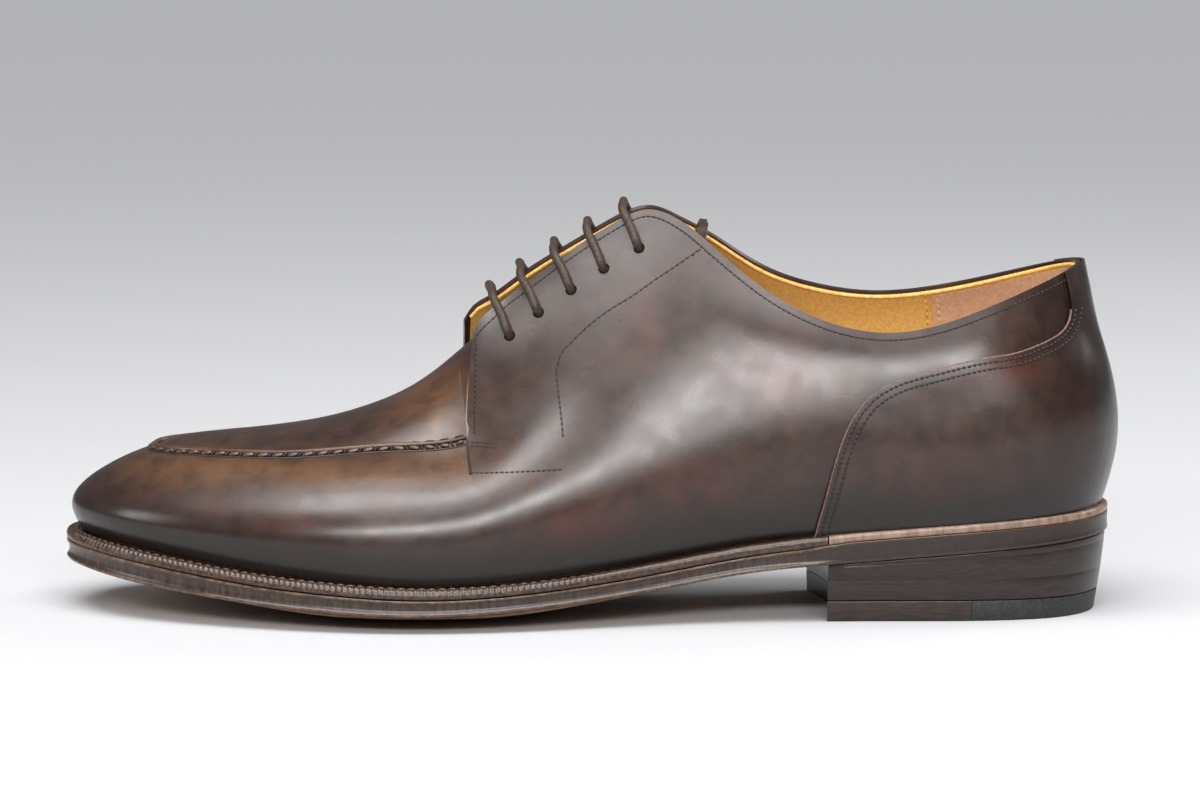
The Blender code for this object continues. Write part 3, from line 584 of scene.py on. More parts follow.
def surface_step(s, t, direction, distance):
    """s and t of the point that lies a small distance away along the wall in a direction."""
    step = 0.04
    high_s = min(s + step, FACING_FRONT) if s > 0 else s + step
    low_s = s - step if s > 0 else max(s - step, -FACING_FRONT)
    if abs(s) > FACING_FRONT:
        low_s, high_s = s - step, s + step
    ds = (wall(high_s, t) - wall(low_s, t)) / (high_s - low_s)
    low_t, high_t = max(t - step, 0), min(t + step, TOPLINE_T)
    dt = (wall(s, high_t) - wall(s, low_t)) / (high_t - low_t)
    change = np.linalg.lstsq(np.stack((ds, dt), axis=1), direction * distance, rcond=None)[0]
    return s + change[0], t + change[1]


def locate(x, z, side=1, lift=0.0):
    """s and t of the wall's point that shows at x and height z on one side."""
    best = None
    for s in np.arange(1, 60, 1.0):
        rows = np.linspace(0, TOPLINE_T if s <= FACING_FRONT else SEAM_T, 40)
        points = wall(side * s, rows)
        away = np.hypot(points[:, 0] - x, points[:, 2] - z)
        i = int(np.argmin(away))
        if best is None or away[i] < best[0]:
            best = (away[i], side * s, rows[i])
    s, t = best[1:]
    target = np.array((x, z))
    step = 0.03
    for _ in range(8):
        turn = step * side if abs(s) < FACING_FRONT - step else -step * side
        climb = step if t < TOPLINE_T - step else -step
        here = wall_skin(s, t, lift)[[0, 2]]
        ds = (wall_skin(s + turn, t, lift)[[0, 2]] - here) / turn
        dt = (wall_skin(s, t + climb, lift)[[0, 2]] - here) / climb
        change = np.linalg.solve(np.stack((ds, dt), axis=1), target - here)
        s = side * float(np.clip(side * (s + np.clip(change[0], -2, 2)), 0.2, FACING_FRONT))
        t = float(np.clip(t + np.clip(change[1], -0.5, 0.5), 0, TOPLINE_T))
    return s, t


class Path:
    """A line on the wall through pairs of s and t, measured by its length in millimetres."""

    def __init__(self, pairs, lift=0.0, curve=True):
        pairs = np.array(pairs, float)
        knots = np.arange(len(pairs))
        fine = np.linspace(0, len(pairs) - 1, (len(pairs) - 1) * 24 + 1)
        if curve and len(pairs) > 2:
            self.pairs = Spline(knots, pairs)(fine)
        else:
            self.pairs = np.stack([np.interp(fine, knots, pairs[:, k]) for k in (0, 1)], axis=1)
        self.pairs[:, 1] = np.clip(self.pairs[:, 1], 0, TOPLINE_T)
        self.points = np.array([wall_skin(s, t, lift) for s, t in self.pairs])
        self.lengths = lengths_along(self.points)
        self.length = float(self.lengths[-1])

    def at(self, distance):
        """Point, direction and outward normal at a distance along the line."""
        near = 0.4
        ahead = row_at(min(distance + near, self.length), self.lengths, self.points)
        behind = row_at(max(distance - near, 0), self.lengths, self.points)
        run = unit(ahead - behind)
        normal = wall_normal(*row_at(distance, self.lengths, self.pairs))
        return row_at(distance, self.lengths, self.points), run, square_to(normal, run)


RIM_END_S = 57.4             # here the line turns from the topline down the facing's front
FRONT_TOP_T = 4.75
CORNER_T = SEAM_T + 0.02     # foot of the facing's front, just above the seam


def rim_path(side, inset):
    """The line along topline and facing, from the heel's back to the bottom of the facing."""
    moved = []
    for s in stations(0, RIM_END_S, 1.2):
        ahead = wall(side * min(s + FINE_S, FACING_FRONT), TOPLINE_T)
        behind = wall(side * (s - FINE_S), TOPLINE_T)
        here = side * max(s, 0.01)
        inwards = turned_to(np.cross(unit(ahead - behind), wall_normal(here, TOPLINE_T)), -UP)
        moved.append(surface_step(here, TOPLINE_T, inwards, inset))
    for t in stations(FRONT_TOP_T, CORNER_T, 0.12):
        s = side * FACING_FRONT
        backwards = unit(wall(s - side * FINE_S, t) - wall(s, t))
        moved.append(surface_step(s, t, backwards, inset))
    return moved


# Looks: one small kit for nodes, then every material

class Looks:
    """The nodes of one material, built from the surface inwards."""

    def __init__(self, name):
        self.material = bpy.data.materials.new(name)
        self.material.use_nodes = True
        self.tree = self.material.node_tree
        self.shader = self.tree.nodes["Principled BSDF"]
        self.place = self.tree.nodes.new("ShaderNodeTexCoord").outputs["Object"]

    def put(self, socket, value):
        if isinstance(value, bpy.types.NodeSocket):
            self.tree.links.new(value, socket)
        elif isinstance(value, tuple):
            socket.default_value = (*value, 1) if len(socket.default_value) == 4 else value
        else:
            socket.default_value = value

    def shade(self, **values):
        for name, value in values.items():
            self.put(self.shader.inputs[name.replace("_", " ")], value)
        return self.material

    def stretched(self, stretch):
        node = self.tree.nodes.new("ShaderNodeVectorMath")
        node.operation = "MULTIPLY"
        self.put(node.inputs[0], self.place)
        self.put(node.inputs[1], stretch)
        return node.outputs[0]

    def noise(self, size, detail=2.0, roughness=0.5, stretch=(1.0, 1.0, 1.0), bend=0.0):
        """Soft noise whose lumps are about one size across, in millimetres."""
        node = self.tree.nodes.new("ShaderNodeTexNoise")
        self.put(node.inputs["Vector"], self.stretched(stretch))
        self.put(node.inputs["Scale"], 1 / (size * MM))
        self.put(node.inputs["Detail"], detail)
        self.put(node.inputs["Roughness"], roughness)
        self.put(node.inputs["Distortion"], bend)
        return node.outputs["Fac"]

    def cells(self, size):
        node = self.tree.nodes.new("ShaderNodeTexVoronoi")
        node.feature = "SMOOTH_F1"
        self.put(node.inputs["Vector"], self.place)
        self.put(node.inputs["Scale"], 1 / (size * MM))
        return node.outputs["Distance"]

    def value(self, name):
        node = self.tree.nodes.new("ShaderNodeAttribute")
        node.attribute_name = name
        return node.outputs["Fac"]

    def axis(self, name):
        node = self.tree.nodes.new("ShaderNodeSeparateXYZ")
        self.put(node.inputs[0], self.place)
        return node.outputs[name]

    def times(self, first, second):
        node = self.tree.nodes.new("ShaderNodeMath")
        node.operation = "MULTIPLY"
        self.put(node.inputs[0], first)
        self.put(node.inputs[1], second)
        return node.outputs[0]

    def between(self, value, low, high, to_low=0.0, to_high=1.0):
        node = self.tree.nodes.new("ShaderNodeMapRange")
        node.interpolation_type = "SMOOTHSTEP"
        for name, part in (("Value", value), ("From Min", low), ("From Max", high),
                           ("To Min", to_low), ("To Max", to_high)):
            self.put(node.inputs[name], part)
        return node.outputs["Result"]

    def mix(self, share, first, second):
        node = self.tree.nodes.new("ShaderNodeMix")
        node.data_type = "RGBA"
        for i, part in ((0, share), (6, first), (7, second)):
            self.put(node.inputs[i], part)
        return node.outputs[2]

    def bump(self, height, depth, strength):
        """A fine relief; depth in millimetres."""
        node = self.tree.nodes.new("ShaderNodeBump")
        self.put(node.inputs["Height"], height)
        self.put(node.inputs["Distance"], depth * MM)
        self.put(node.inputs["Strength"], strength)
        return node.outputs["Normal"]


CALF_DARK = (0.007, 0.004, 0.003)
CALF_BROWN = (0.022, 0.0105, 0.0075)
CALF_LIGHT = (0.04, 0.019, 0.0125)
CALF_RED = (0.075, 0.0125, 0.0075)
CALF_TAN = (0.105, 0.047, 0.018)
LACE_LIGHT = (0.075, 0.046, 0.033)
LACE_DARK = (0.024, 0.015, 0.011)
HEEL_WAX = (0.017, 0.0098, 0.0075)
HEEL_WAX_FROM = (-74.0, -52.0)    # x between which the sole's edge takes on the heel's colour
HEEL_WAX_SHARE = 0.85

# Sizes of the patterns in the leathers and the lace, in millimetres
CLOUDS = 9
SPECKLES = 1.5
CALF_GRAIN = 1.3
POLISH = 7
THREAD_TWIST = 0.5
LACE_WEAVE = 0.45


def calf(name, rough=0.3, patches=True):
    """Burnished calf: mottled brown with redder and lighter patches, and a fine grain."""
    looks = Looks(name)
    clouds = looks.noise(CLOUDS, 4, 0.6, bend=0.4)
    speckle = looks.noise(SPECKLES, 1, 0.5)
    colour = looks.mix(looks.between(clouds, 0.35, 0.68), CALF_BROWN, CALF_LIGHT)
    if patches:
        strength = looks.times(looks.value("tan"), looks.between(clouds, 0.3, 0.6, 0.45, 1))
        colour = looks.mix(strength, colour, CALF_TAN)
        strength = looks.times(looks.value("red"), looks.between(clouds, 0.3, 0.62, 0.4, 1))
        colour = looks.mix(strength, colour, CALF_RED)
        # near black where the value dark is high: painted shade low on the wall, and the darker heel and
        # toe
        colour = looks.mix(looks.value("dark"), colour, CALF_DARK)
    colour = looks.mix(looks.between(speckle, 0.4, 0.75, 0, 0.14), colour, CALF_DARK)
    grain = looks.bump(looks.noise(CALF_GRAIN, 0, 0.5), 0.03, 0.3)
    polish = looks.between(looks.noise(POLISH, 1), 0.3, 0.7, rough - 0.03, rough + 0.04)
    return looks.shade(Base_Color=colour, Roughness=polish, Normal=grain, Specular_IOR_Level=0.5,
                       Coat_Weight=0.15, Coat_Roughness=0.2)


def plain_leather(name, dark, light, rough=0.5, size=1.6, depth=0.05, stretch=(1.0, 1.0, 1.0)):
    looks = Looks(name)
    grain = looks.noise(size, 4, 0.6, stretch)
    colour = looks.mix(looks.between(grain, 0.35, 0.68), dark, light)
    return looks.shade(Base_Color=colour, Roughness=rough, Normal=looks.bump(grain, depth, 0.7))


def sole_edge_leather(name, dark, light, size, stretch=(1.0, 1.0, 1.0)):
    """Waxed edge of the sole, which grows as dark as the heel where it lies over the heel."""
    looks = Looks(name)
    grain = looks.noise(size, 4, 0.6, stretch)
    colour = looks.mix(looks.between(grain, 0.35, 0.68), dark, light)
    start, end = (x * MM for x in HEEL_WAX_FROM)
    over_heel = looks.between(looks.axis("X"), start, end, HEEL_WAX_SHARE, 0.0)
    colour = looks.mix(over_heel, colour, HEEL_WAX)
    return looks.shade(Base_Color=colour, Roughness=0.3, Normal=looks.bump(grain, 0.05, 0.6))


def thread_look(name, colour, rough=0.45):
    looks = Looks(name)
    twist = looks.noise(THREAD_TWIST, 1, 0.5, (1.0, 1.0, 2.0))
    return looks.shade(Base_Color=looks.mix(twist, colour, tuple(1.6 * c for c in colour)),
                       Roughness=rough, Normal=looks.bump(twist, 0.05, 0.6))


UPPER_CALF = calf("burnished_calf")
COUNTER_CALF = calf("counter_calf", 0.29)
TONGUE_CALF = calf("tongue_calf", 0.42, patches=False)
CUT_EDGE = plain_leather("cut_edge", (0.075, 0.038, 0.03), (0.17, 0.09, 0.075), 0.5, 0.8)
DARK_EDGE = plain_leather("inked_edge", (0.012, 0.008, 0.007), (0.03, 0.018, 0.014), 0.4, 0.8)
LINING_YELLOW = plain_leather("golden_lining", (0.58, 0.31, 0.07), (0.7, 0.4, 0.11), 0.6, 0.9, 0.07)
LINING_EDGE = plain_leather("lining_edge", (0.62, 0.33, 0.07), (0.85, 0.52, 0.16), 0.5, 1.0)
HEEL_TAN = plain_leather("tan_heel_lining", (0.5, 0.28, 0.16), (0.6, 0.36, 0.22), 0.62, 0.9, 0.06)
WELT_BROWN = plain_leather("waxed_welt", (0.018, 0.01, 0.0075), (0.08, 0.043, 0.027), 0.3, 1.1, 0.06)
# the rand: partly its own paler leather, partly painted highlight along its thin rounded edge
RAND_BEIGE_AND_HIGHLIGHT = plain_leather("light_rand_and_highlight", (0.15, 0.095, 0.068), (0.27, 0.18, 0.13), 0.32, 2.5, 0.03,
                           (1.0, 1.0, 0.3))
SOLE_EDGE_BROWN = sole_edge_leather("waxed_sole_edge", (0.016, 0.0092, 0.007), (0.06, 0.035, 0.025), 0.9,
                                    (1.0, 1.0, 0.12))
SOLE_RIM = sole_edge_leather("bright_sole_rim", (0.045, 0.025, 0.016), (0.15, 0.085, 0.05), 1.6)
SOLE_UNDER = plain_leather("sole_underside", (0.36, 0.21, 0.11), (0.5, 0.32, 0.18), 0.5, 5, 0.05)
HEEL_DARK = plain_leather("waxed_heel", (0.009, 0.0055, 0.0045), (0.026, 0.0145, 0.011), 0.3, 0.9,
                          0.05, (0.2, 0.2, 1.6))
HEEL_TOP_DARK = plain_leather("waxed_top_piece", (0.012, 0.0075, 0.006), (0.036, 0.021, 0.016), 0.34, 0.9,
                              0.05, (0.2, 0.2, 1.6))
RUBBER = plain_leather("black_rubber", (0.012, 0.011, 0.011), (0.03, 0.028, 0.027), 0.55, 1.0, 0.04)
THREAD = thread_look("dark_thread", (0.006, 0.004, 0.004), 0.6)
WELT_THREAD = thread_look("welt_thread", (0.06, 0.035, 0.024))
# needle holes: near-black dots, the painted shade inside each hole
HOLE_SHADE = Looks("needle_hole_shade").shade(Base_Color=(0.004, 0.003, 0.003), Roughness=0.9)


def lace_look():
    looks = Looks("waxed_lace")
    weave = looks.cells(LACE_WEAVE)
    colour = looks.mix(looks.between(weave, 0.1, 0.6), LACE_LIGHT, LACE_DARK)
    return looks.shade(Base_Color=colour, Roughness=0.55, Normal=looks.bump(weave, 0.12, 0.7),
                       Specular_IOR_Level=0.35)


LACE_BROWN = lace_look()


# The upper's leathers

EYELET_RADIUS = 1.7
EYELET_SIDES = 24
PUNCH_LENGTH = 10.0
TOPLINE_STOP = 0.8           # the lining ends this far below the leather's edge
LINING_FRONT = 57.6
LINING_STEP = 0.8            # step of s in the lining's mesh
LINING_ROWS = 56
HEEL_SEAM_S = -18.4          # the heel lining's seam on the inner side
HEEL_LINING_END = 18.0
HEEL_LINING_DOWN = 2.4       # its top, below the leather's edge
HEEL_LINING = 0.35
HEEL_LINING_GAP = 0.02
BINDING_RADIUS = 0.6
BINDING_DOWN = 0.55          # middle of the binding, below the lining's edge
BINDING_IN = 0.5


def rib_t(s, inset):
    """t of a place a distance down from the upper's edge, on a rib of the quarters."""
    lengths = rib(round(float(s), 5))[1]
    return float(np.interp(lengths[-1] - inset, lengths, range(len(lengths))))


def facing_point(s, inset, lift):
    return wall_skin(s, rib_t(s, inset), lift)


def punch_eyelets(*pieces):
    """Round holes for the lace through facing leather and lining."""
    pegs = []
    for s, inset in EYELETS:
        for side in (1, -1):
            t = rib_t(side * s, inset)
            bpy.ops.mesh.primitive_cylinder_add(vertices=EYELET_SIDES, radius=EYELET_RADIUS * MM,
                                                depth=PUNCH_LENGTH * MM)
            peg = bpy.context.object
            turn = Vector(wall_normal(side * s, t)).to_track_quat("Z", "Y").to_matrix().to_4x4()
            peg.data.transform(Matrix.Translation(Vector(wall(side * s, t) * MM)) @ turn)
            pegs.append(peg)
    only(pegs[0])
    for peg in pegs:
        peg.select_set(True)
    bpy.ops.object.join()
    pegs = bpy.context.object
    for piece in pieces:
        cut_by(piece, pegs, "DIFFERENCE")
    bpy.data.objects.remove(pegs)


def upper_leather():
    piece = outer_shell()
    thicken(piece, LEATHER, 1)
    dress(piece, (UPPER_CALF, CUT_EDGE), "upper_calf", "upper")
    return piece


def lining_part(name, low_s, high_s, top_inset, lift, thickness, material):
    """A sheet of lining inside the quarters, from one s to another."""
    grid = []
    for s in stations(low_s, high_s, LINING_STEP):
        rows = np.linspace(0, rib_t(s, top_inset), LINING_ROWS)
        grid.append(wall_skin(s, rows, lift))
    grid = np.array(grid)
    faces = grid_faces(*grid.shape[:2])
    piece = piece_of(name, mesh_of(name, grid.reshape(-1, 3), faces))
    thicken(piece, thickness)
    dress(piece, (material,), "lining_leather", "upper")
    return piece


def linings():
    lining = lining_part("quarter_lining", -LINING_FRONT, LINING_FRONT, TOPLINE_STOP, LINING_LIFT,
                         LINING, LINING_YELLOW)
    heel_lift = LINING_LIFT - LINING - HEEL_LINING_GAP
    lining_part("heel_lining", HEEL_SEAM_S, HEEL_LINING_END, HEEL_LINING_DOWN, heel_lift,
                HEEL_LINING, HEEL_TAN)
    route = [wall_skin(s, rib_t(s, TOPLINE_STOP + BINDING_DOWN), LINING_LIFT - BINDING_IN)
             for s in stations(-LINING_FRONT, LINING_FRONT, 0.5)]
    binding = sweep("lining_binding", tube(route, BINDING_RADIUS, 10))
    dress(binding, (LINING_EDGE,), "lining_leather", "upper")
    return lining


# Counter, cut to its outline as seen from the side: x and height of the cut edge's points

COUNTER_EDGE = (
    (-63.5, 18), (-65.2, 28), (-66.8, 34.2), (-69.6, 45.7), (-73.0, 55.8), (-78.6, 64.4),
    (-87.8, 70.2), (-99.8, 73.5), (-111.4, 76.1), (-120.9, 77.4), (-129.7, 80.0),
    (-135.2, 82.6), (-138.0, 86), (-138.6, 91), (-137.4, 97), (-135.8, 104),
)
COUNTER_OUT = 1.3            # outer face of the counter over the upper
COUNTER_THICKNESS = 1.0
COUNTER_END = 33.0           # s past which nothing of it is left
COUNTER_ROWS = np.concatenate((stations(0, 3, 0.07), stations(3.05, TOPLINE_T, 0.06)))
COUNTER_BEHIND = -165.0      # the cutting guide's reach behind the heel, and to both sides
COUNTER_ASIDE = 60.0

counter_outline = Spline(range(len(COUNTER_EDGE)), COUNTER_EDGE)
COUNTER_KNOTS = len(COUNTER_EDGE) - 1


def counter_leather():
    """The overlay round the heel."""
    grid = np.array([wall_skin(s, COUNTER_ROWS, COUNTER_OUT)
                     for s in stations(-COUNTER_END, COUNTER_END, 0.5)])
    points = grid.reshape(-1, 3)
    piece = piece_of("counter_leather", mesh_of("counter_leather", points, grid_faces(*grid.shape[:2])))
    add_values(piece, burnish_and_shade(points))
    thicken(piece, COUNTER_THICKNESS, 1)
    outline = counter_outline(np.linspace(0, COUNTER_KNOTS, 90)).tolist()
    outline += [(COUNTER_BEHIND, outline[-1][1]), (COUNTER_BEHIND, outline[0][1])]
    guide = sweep("counter_outline", [[(x, y, z) for x, z in outline]
                                      for y in (-COUNTER_ASIDE, COUNTER_ASIDE)])
    cut_by(piece, guide, "INTERSECT")
    bpy.data.objects.remove(guide)
    dress(piece, (COUNTER_CALF, CUT_EDGE), "counter_calf", "counter", angle=40)


# Tongue: rows of points across it, from its tucked end under the vamp up to its tip

TUCKED_X = (48, 42, 37.5)
TUCKED_Y = (12, 5, -3, -11, -18)
TUCK_BACK = 1.4
TUCK_DOWN = 0.3
TONGUE_RIBS = (54.6, 52, 49, 46, 43.5, 41.6)
TONGUE_LEVELS = ((4.0, 0.8), (4.85, 2.4))
TONGUE_HEART = 0.6
TONGUE_THICKNESS = 2.2
TONGUE_SUNK = ((41.6, 0.2), (46.0, 1.3))    # s and room for the lace under the facings
TONGUE_CLEAR = 0.8
TONGUE_MESH = (90, 44)           # rows along the tongue, and points across it
TIP_NARROW = (1.0, 0.8, 0.6)     # the tongue's tip is narrower and flatter
TIP_RISE = (-1.8, 0.0, 8.2)      # and curls up behind the facings
UPPER_WALL = 2.0
SEAM_NEAR_THROAT = 60.0


def tongue_leather():
    rows = []
    below = UPPER_WALL + TONGUE_CLEAR
    for x in TUCKED_X:
        row = []
        for y in TUCKED_Y:
            seam = wall(SEAM_NEAR_THROAT if y > RIDGE_Y else -SEAM_NEAR_THROAT, SEAM_T)
            r = (y - RIDGE_Y) / (seam[1] - RIDGE_Y)
            height = float(ridge_height(x)) - float(ridge_height(seam[0]) - seam[2]) * r ** 2
            row.append((x - TUCK_BACK, y, height - below - TUCK_DOWN))
        rows.append(row)
    for s in TONGUE_RIBS:
        depth = UPPER_WALL + float(np.interp(s, *zip(*TONGUE_SUNK)))
        outer = [wall_skin(s, t, -depth - clear) for t, clear in TONGUE_LEVELS]
        inner = [wall_skin(-s, t, -depth - clear) for t, clear in reversed(TONGUE_LEVELS)]
        heart = (outer[-1] + inner[0]) / 2 + np.array((0, 0, TONGUE_HEART))
        rows.append([*outer, heart, *inner])
    middle = np.mean(rows[-1], axis=0)
    rows.append((np.array(rows[-1]) - middle) * TIP_NARROW + middle + TIP_RISE)
    along = Spline(range(len(rows)), rows)
    count, across = TONGUE_MESH
    last = len(TUCKED_Y) - 1
    grid = np.array([Spline(range(last + 1), along(station))(np.linspace(0, last, across))
                     for station in np.linspace(0, len(rows) - 1, count)])
    faces = grid_faces(count, across)
    piece = piece_of("tongue_leather", mesh_of("tongue_leather", grid.reshape(-1, 3), faces))
    if piece.data.polygons[len(faces) // 2].normal.z < 0:
        piece.data.flip_normals()
    thicken(piece, TONGUE_THICKNESS, 1)
    dress(piece, (TONGUE_CALF, DARK_EDGE), "tongue_calf", "tongue", angle=60)


# Lace

LACE_RADIUS = 1.3
LACE_LEAD = 3.0
EDGE_INSET = 0.8
EDGE_SEARCH = 4.0
LACE_HALF_LIFT = 0.5
LACE_EDGE_LIFT = 0.9
LACE_ARCH = 2.4
LACE_CREST_LEAD = 0.4
GAP = 0.3
LACE_UNDER = -3.7            # height of the hidden runs, below the facing's surface
LACE_FIT = 0.02              # the lace's surface lies this far inside the solids'
LACE_FIRST_ASIDE = 3.2       # the long hidden run lies beside the short ones
EYELET_LIFTS = (0.1, -1.3, -2.7)
BEND_SHARE = 0.12            # room for the bend out of an eyelet, as a share of the way on


def half_bar(side, s, inset):
    """Three points of a lace bar on one facing: eyelet, half way, and over the edge."""
    lift = LACE_RADIUS + GAP
    eyelet = facing_point(side * s, inset, lift)
    near = np.arange(s - EDGE_SEARCH, FACING_FRONT, 0.1)[::-1]
    edge_x = [rim_line(side * at)[0] for at in near]
    edge_s = float(np.interp(eyelet[0] + LACE_LEAD, edge_x[::-1], near[::-1]))
    half_way = facing_point(side * (s + edge_s) / 2, inset / 2, lift + LACE_HALF_LIFT)
    return [eyelet, half_way, facing_point(side * edge_s, EDGE_INSET, lift + LACE_EDGE_LIFT)]


def into_eyelet(side, number):
    """The lace's way down through one eyelet, from outside to inside."""
    s, inset = EYELETS[number]
    return [facing_point(side * s, inset, lift) for lift in EYELET_LIFTS]


def bar(number):
    """The lace from one side's eyelet across the tongue into the other side's."""
    s, inset = EYELETS[number]
    halves = [half_bar(side, s, inset) for side in (1, -1)]
    for half in halves:
        half[0] = half[0] + (half[1] - half[0]) * BEND_SHARE
    outer, inner = halves
    crest = (outer[-1] + inner[-1]) / 2 + np.array((LACE_CREST_LEAD, 0, LACE_ARCH))
    return into_eyelet(1, number)[::-1] + outer + [crest] + inner[::-1] + into_eyelet(-1, number)


def under_facing(side, first, last, aside=0.0):
    """A hidden run from one eyelet to another, along the inside of a facing."""
    points = []
    for share in (0.25, 0.5, 0.75):
        s = EYELETS[first][0] * (1 - share) + EYELETS[last][0] * share
        inset = EYELETS[first][1] * (1 - share) + EYELETS[last][1] * share + aside
        points.append(facing_point(side * s, inset, LACE_UNDER))
    return points


def laces():
    """One lace of straight bars; the ends stop inside, at the two top eyelets."""
    run = under_facing(1, 4, 0, LACE_FIRST_ASIDE) + bar(0)
    for number in range(1, len(EYELETS)):
        side = 1 if number % 2 == 0 else -1
        run += under_facing(side, number - 1, number) + bar(number)[::side]
    lengths = lengths_along(run)
    fine = Spline(lengths, run)(stations(0, lengths[-1], 0.7))
    piece = sweep("lace", tube(fine, LACE_RADIUS - LACE_FIT, 12))
    bars = [f"lace_bar_{number}" for number in range(1, len(EYELETS) + 1)]
    dress(piece, (LACE_BROWN,), "lace_cotton", *bars, angle=60)


# Welt, rand, sole and heel

WELT_INNER = 2.2
BREAST_S = {1: 28.6, -1: 29.6}
BREAST_SPLIT = 0.06
RAND_TO_WELT_X = (-75.0, -60.0)
WELT_THICKNESS = 3.0
RAND_THICKNESS = 2.2
REST_FROM = 28.0
REST_TO = 74.0
FLAT_SHARE = 0.22
HEEL_CORE = (-116.0, 0.2)
TOE_CORE = (106.0, -3.2)
CORE_SQUEEZE = 0.18
INSOLE_INSET = 2.7
INSOLE_RISE = 2.4
INSOLE_DISH = 0.6
HEEL_LIFT = 6.0
BREAST_HOLLOW = 3.5
HEEL_TAPER = 0.16
HEEL_SETBACK = 0.6
TAPER_X = -100.0
TIP_JOINT_X = -109.6
TIP_CLEAR = 0.15             # the rubber tip's front face lies this far behind the joint
WHEEL_PITCH = 1.65           # marks of the wheel on the welt
WHEEL_DEPTH = 0.32
WHEEL_FROM = (-10, 10)       # x where the marks begin; the waist is smooth
SOLE_DISH = 0.75             # the sole's edge is hollow between two bright rims
DISH_FADE = ((-74.0, -46.0), (0.15, 1.0))    # and flush with the heel: x, and share of the hollow
LIFT_LINES = (12.3, 18.0)    # heights of the heel's joints between lifts
LIFT_SPLIT = 0.2             # between the lifts and the top piece, and around the tip's joint
BREAST_SHARES = np.linspace(0.04, 0.96, 24)
SOCK_DISH = 0.2

# A plate's edge, from its underside to its top: share of the height, share of the hollow
PLATE_EDGE = ((0.0, 0.5), (0.015, 0.15), (0.08, 0.0), (0.14, 0.02), (0.2, 0.5), (0.35, 0.9),
              (0.5, 1.0), (0.65, 0.9), (0.8, 0.5), (0.86, 0.1), (0.93, 0.0), (0.985, 0.15), (1.0, 0.5))
UNDERSIDE, RIM, EDGE, TOP = range(4)    # parts of a plate, in the order of its materials
EDGE_FACES = range(4, 10)               # the rest of the edge's faces are its two rims
PLATE_ROWS = 12                         # rows of a plate's face from its middle to its edge

# Profiles of welt and rand, from the inner foot outwards, up and back: the line from which the
# reach is measured, the reach, the share of the height, and how much the wheel presses there
WELT_PROFILE = (
    ("inner", 0, 0.0, 0), ("edge", -0.5, 0.0, 0), ("edge", -0.1, 0.06, 0), ("edge", 0, 0.2, 0),
    ("edge", 0, 0.45, 0), ("edge", -0.05, 0.62, 0.6), ("edge", -0.3, 0.8, 1), ("edge", -0.8, 0.95, 1),
    ("edge", -1.4, 1.0, 1), ("edge", -1.75, 0.96, 0), ("feather", 1.1, 0.84, 0),
    ("feather", 0.4, 0.84, 0), ("inner", 0, 0.84, 0),
)
RAND_PROFILE = (
    ("inner", 0, 0.0, 0), ("edge", -0.3, 0.0, 0), ("edge", -0.05, 0.1, 0), ("edge", 0, 0.3, 0),
    ("edge", 0, 0.6, 0), ("edge", -0.1, 0.82, 0), ("edge", -0.5, 0.96, 0), ("edge", -1.0, 1.0, 0),
    ("inner", 0, 1.0, 0),
)

# The heel's side: heights above its foot, about a groove and below its head, each with its dent
FOOT_ROUND = ((0.0, 0.35), (0.12, 0.12), (0.35, 0.0))
GROOVE = ((-0.25, 0.0), (-0.06, 0.12), (0.06, 0.12), (0.25, 0.0))
HEAD_ROUND = ((-0.3, 0.0), (-0.1, 0.1), (0.0, 0.25))


def sole_edge(s, inset=0.0):
    return from_feather(s, edge_width[side_of(s)](abs(s)) - inset)


def insole_edge(s):
    return from_feather(s, -INSOLE_INSET)


def sole_bottom(x, r):
    edge = sole_level(x, "edge")
    middle = 0.0 if REST_FROM < x < REST_TO else max(float(sole_level(x, "middle")), 0.0)
    share = max(0.0, (r - FLAT_SHARE) / (1 - FLAT_SHARE)) ** 2
    return middle + (edge - middle) * share


def hollow(x, r):
    return sole_level(x, "edge") - sole_bottom(x, r)


def sole_top(x, r):
    ledge = np.interp(x, RAND_TO_WELT_X, (RAND_THICKNESS, WELT_THICKNESS))
    return sole_level(x, "feather") - 2 * GAP - ledge - hollow(x, r)


def insole_top(x, r):
    return sole_level(x, "feather") + INSOLE_RISE - INSOLE_DISH * hollow(x, r)


def plate_point(s, r, edge_of):
    here = edge_of(s)
    middle = (here + edge_of(-s)) / 2
    if middle[0] < HEEL_CORE[0]:
        middle = HEEL_CORE + (middle - HEEL_CORE) * CORE_SQUEEZE
    if middle[0] > TOE_CORE[0]:
        middle = TOE_CORE + (middle - TOE_CORE) * CORE_SQUEEZE
    return middle + (here - middle) * r


def plate_part(k):
    """The part of a plate that a face belongs to, k faces up from the start of the edge."""
    if k < 0:
        return UNDERSIDE
    if k >= len(PLATE_EDGE):
        return TOP
    return EDGE if k in EDGE_FACES else RIM


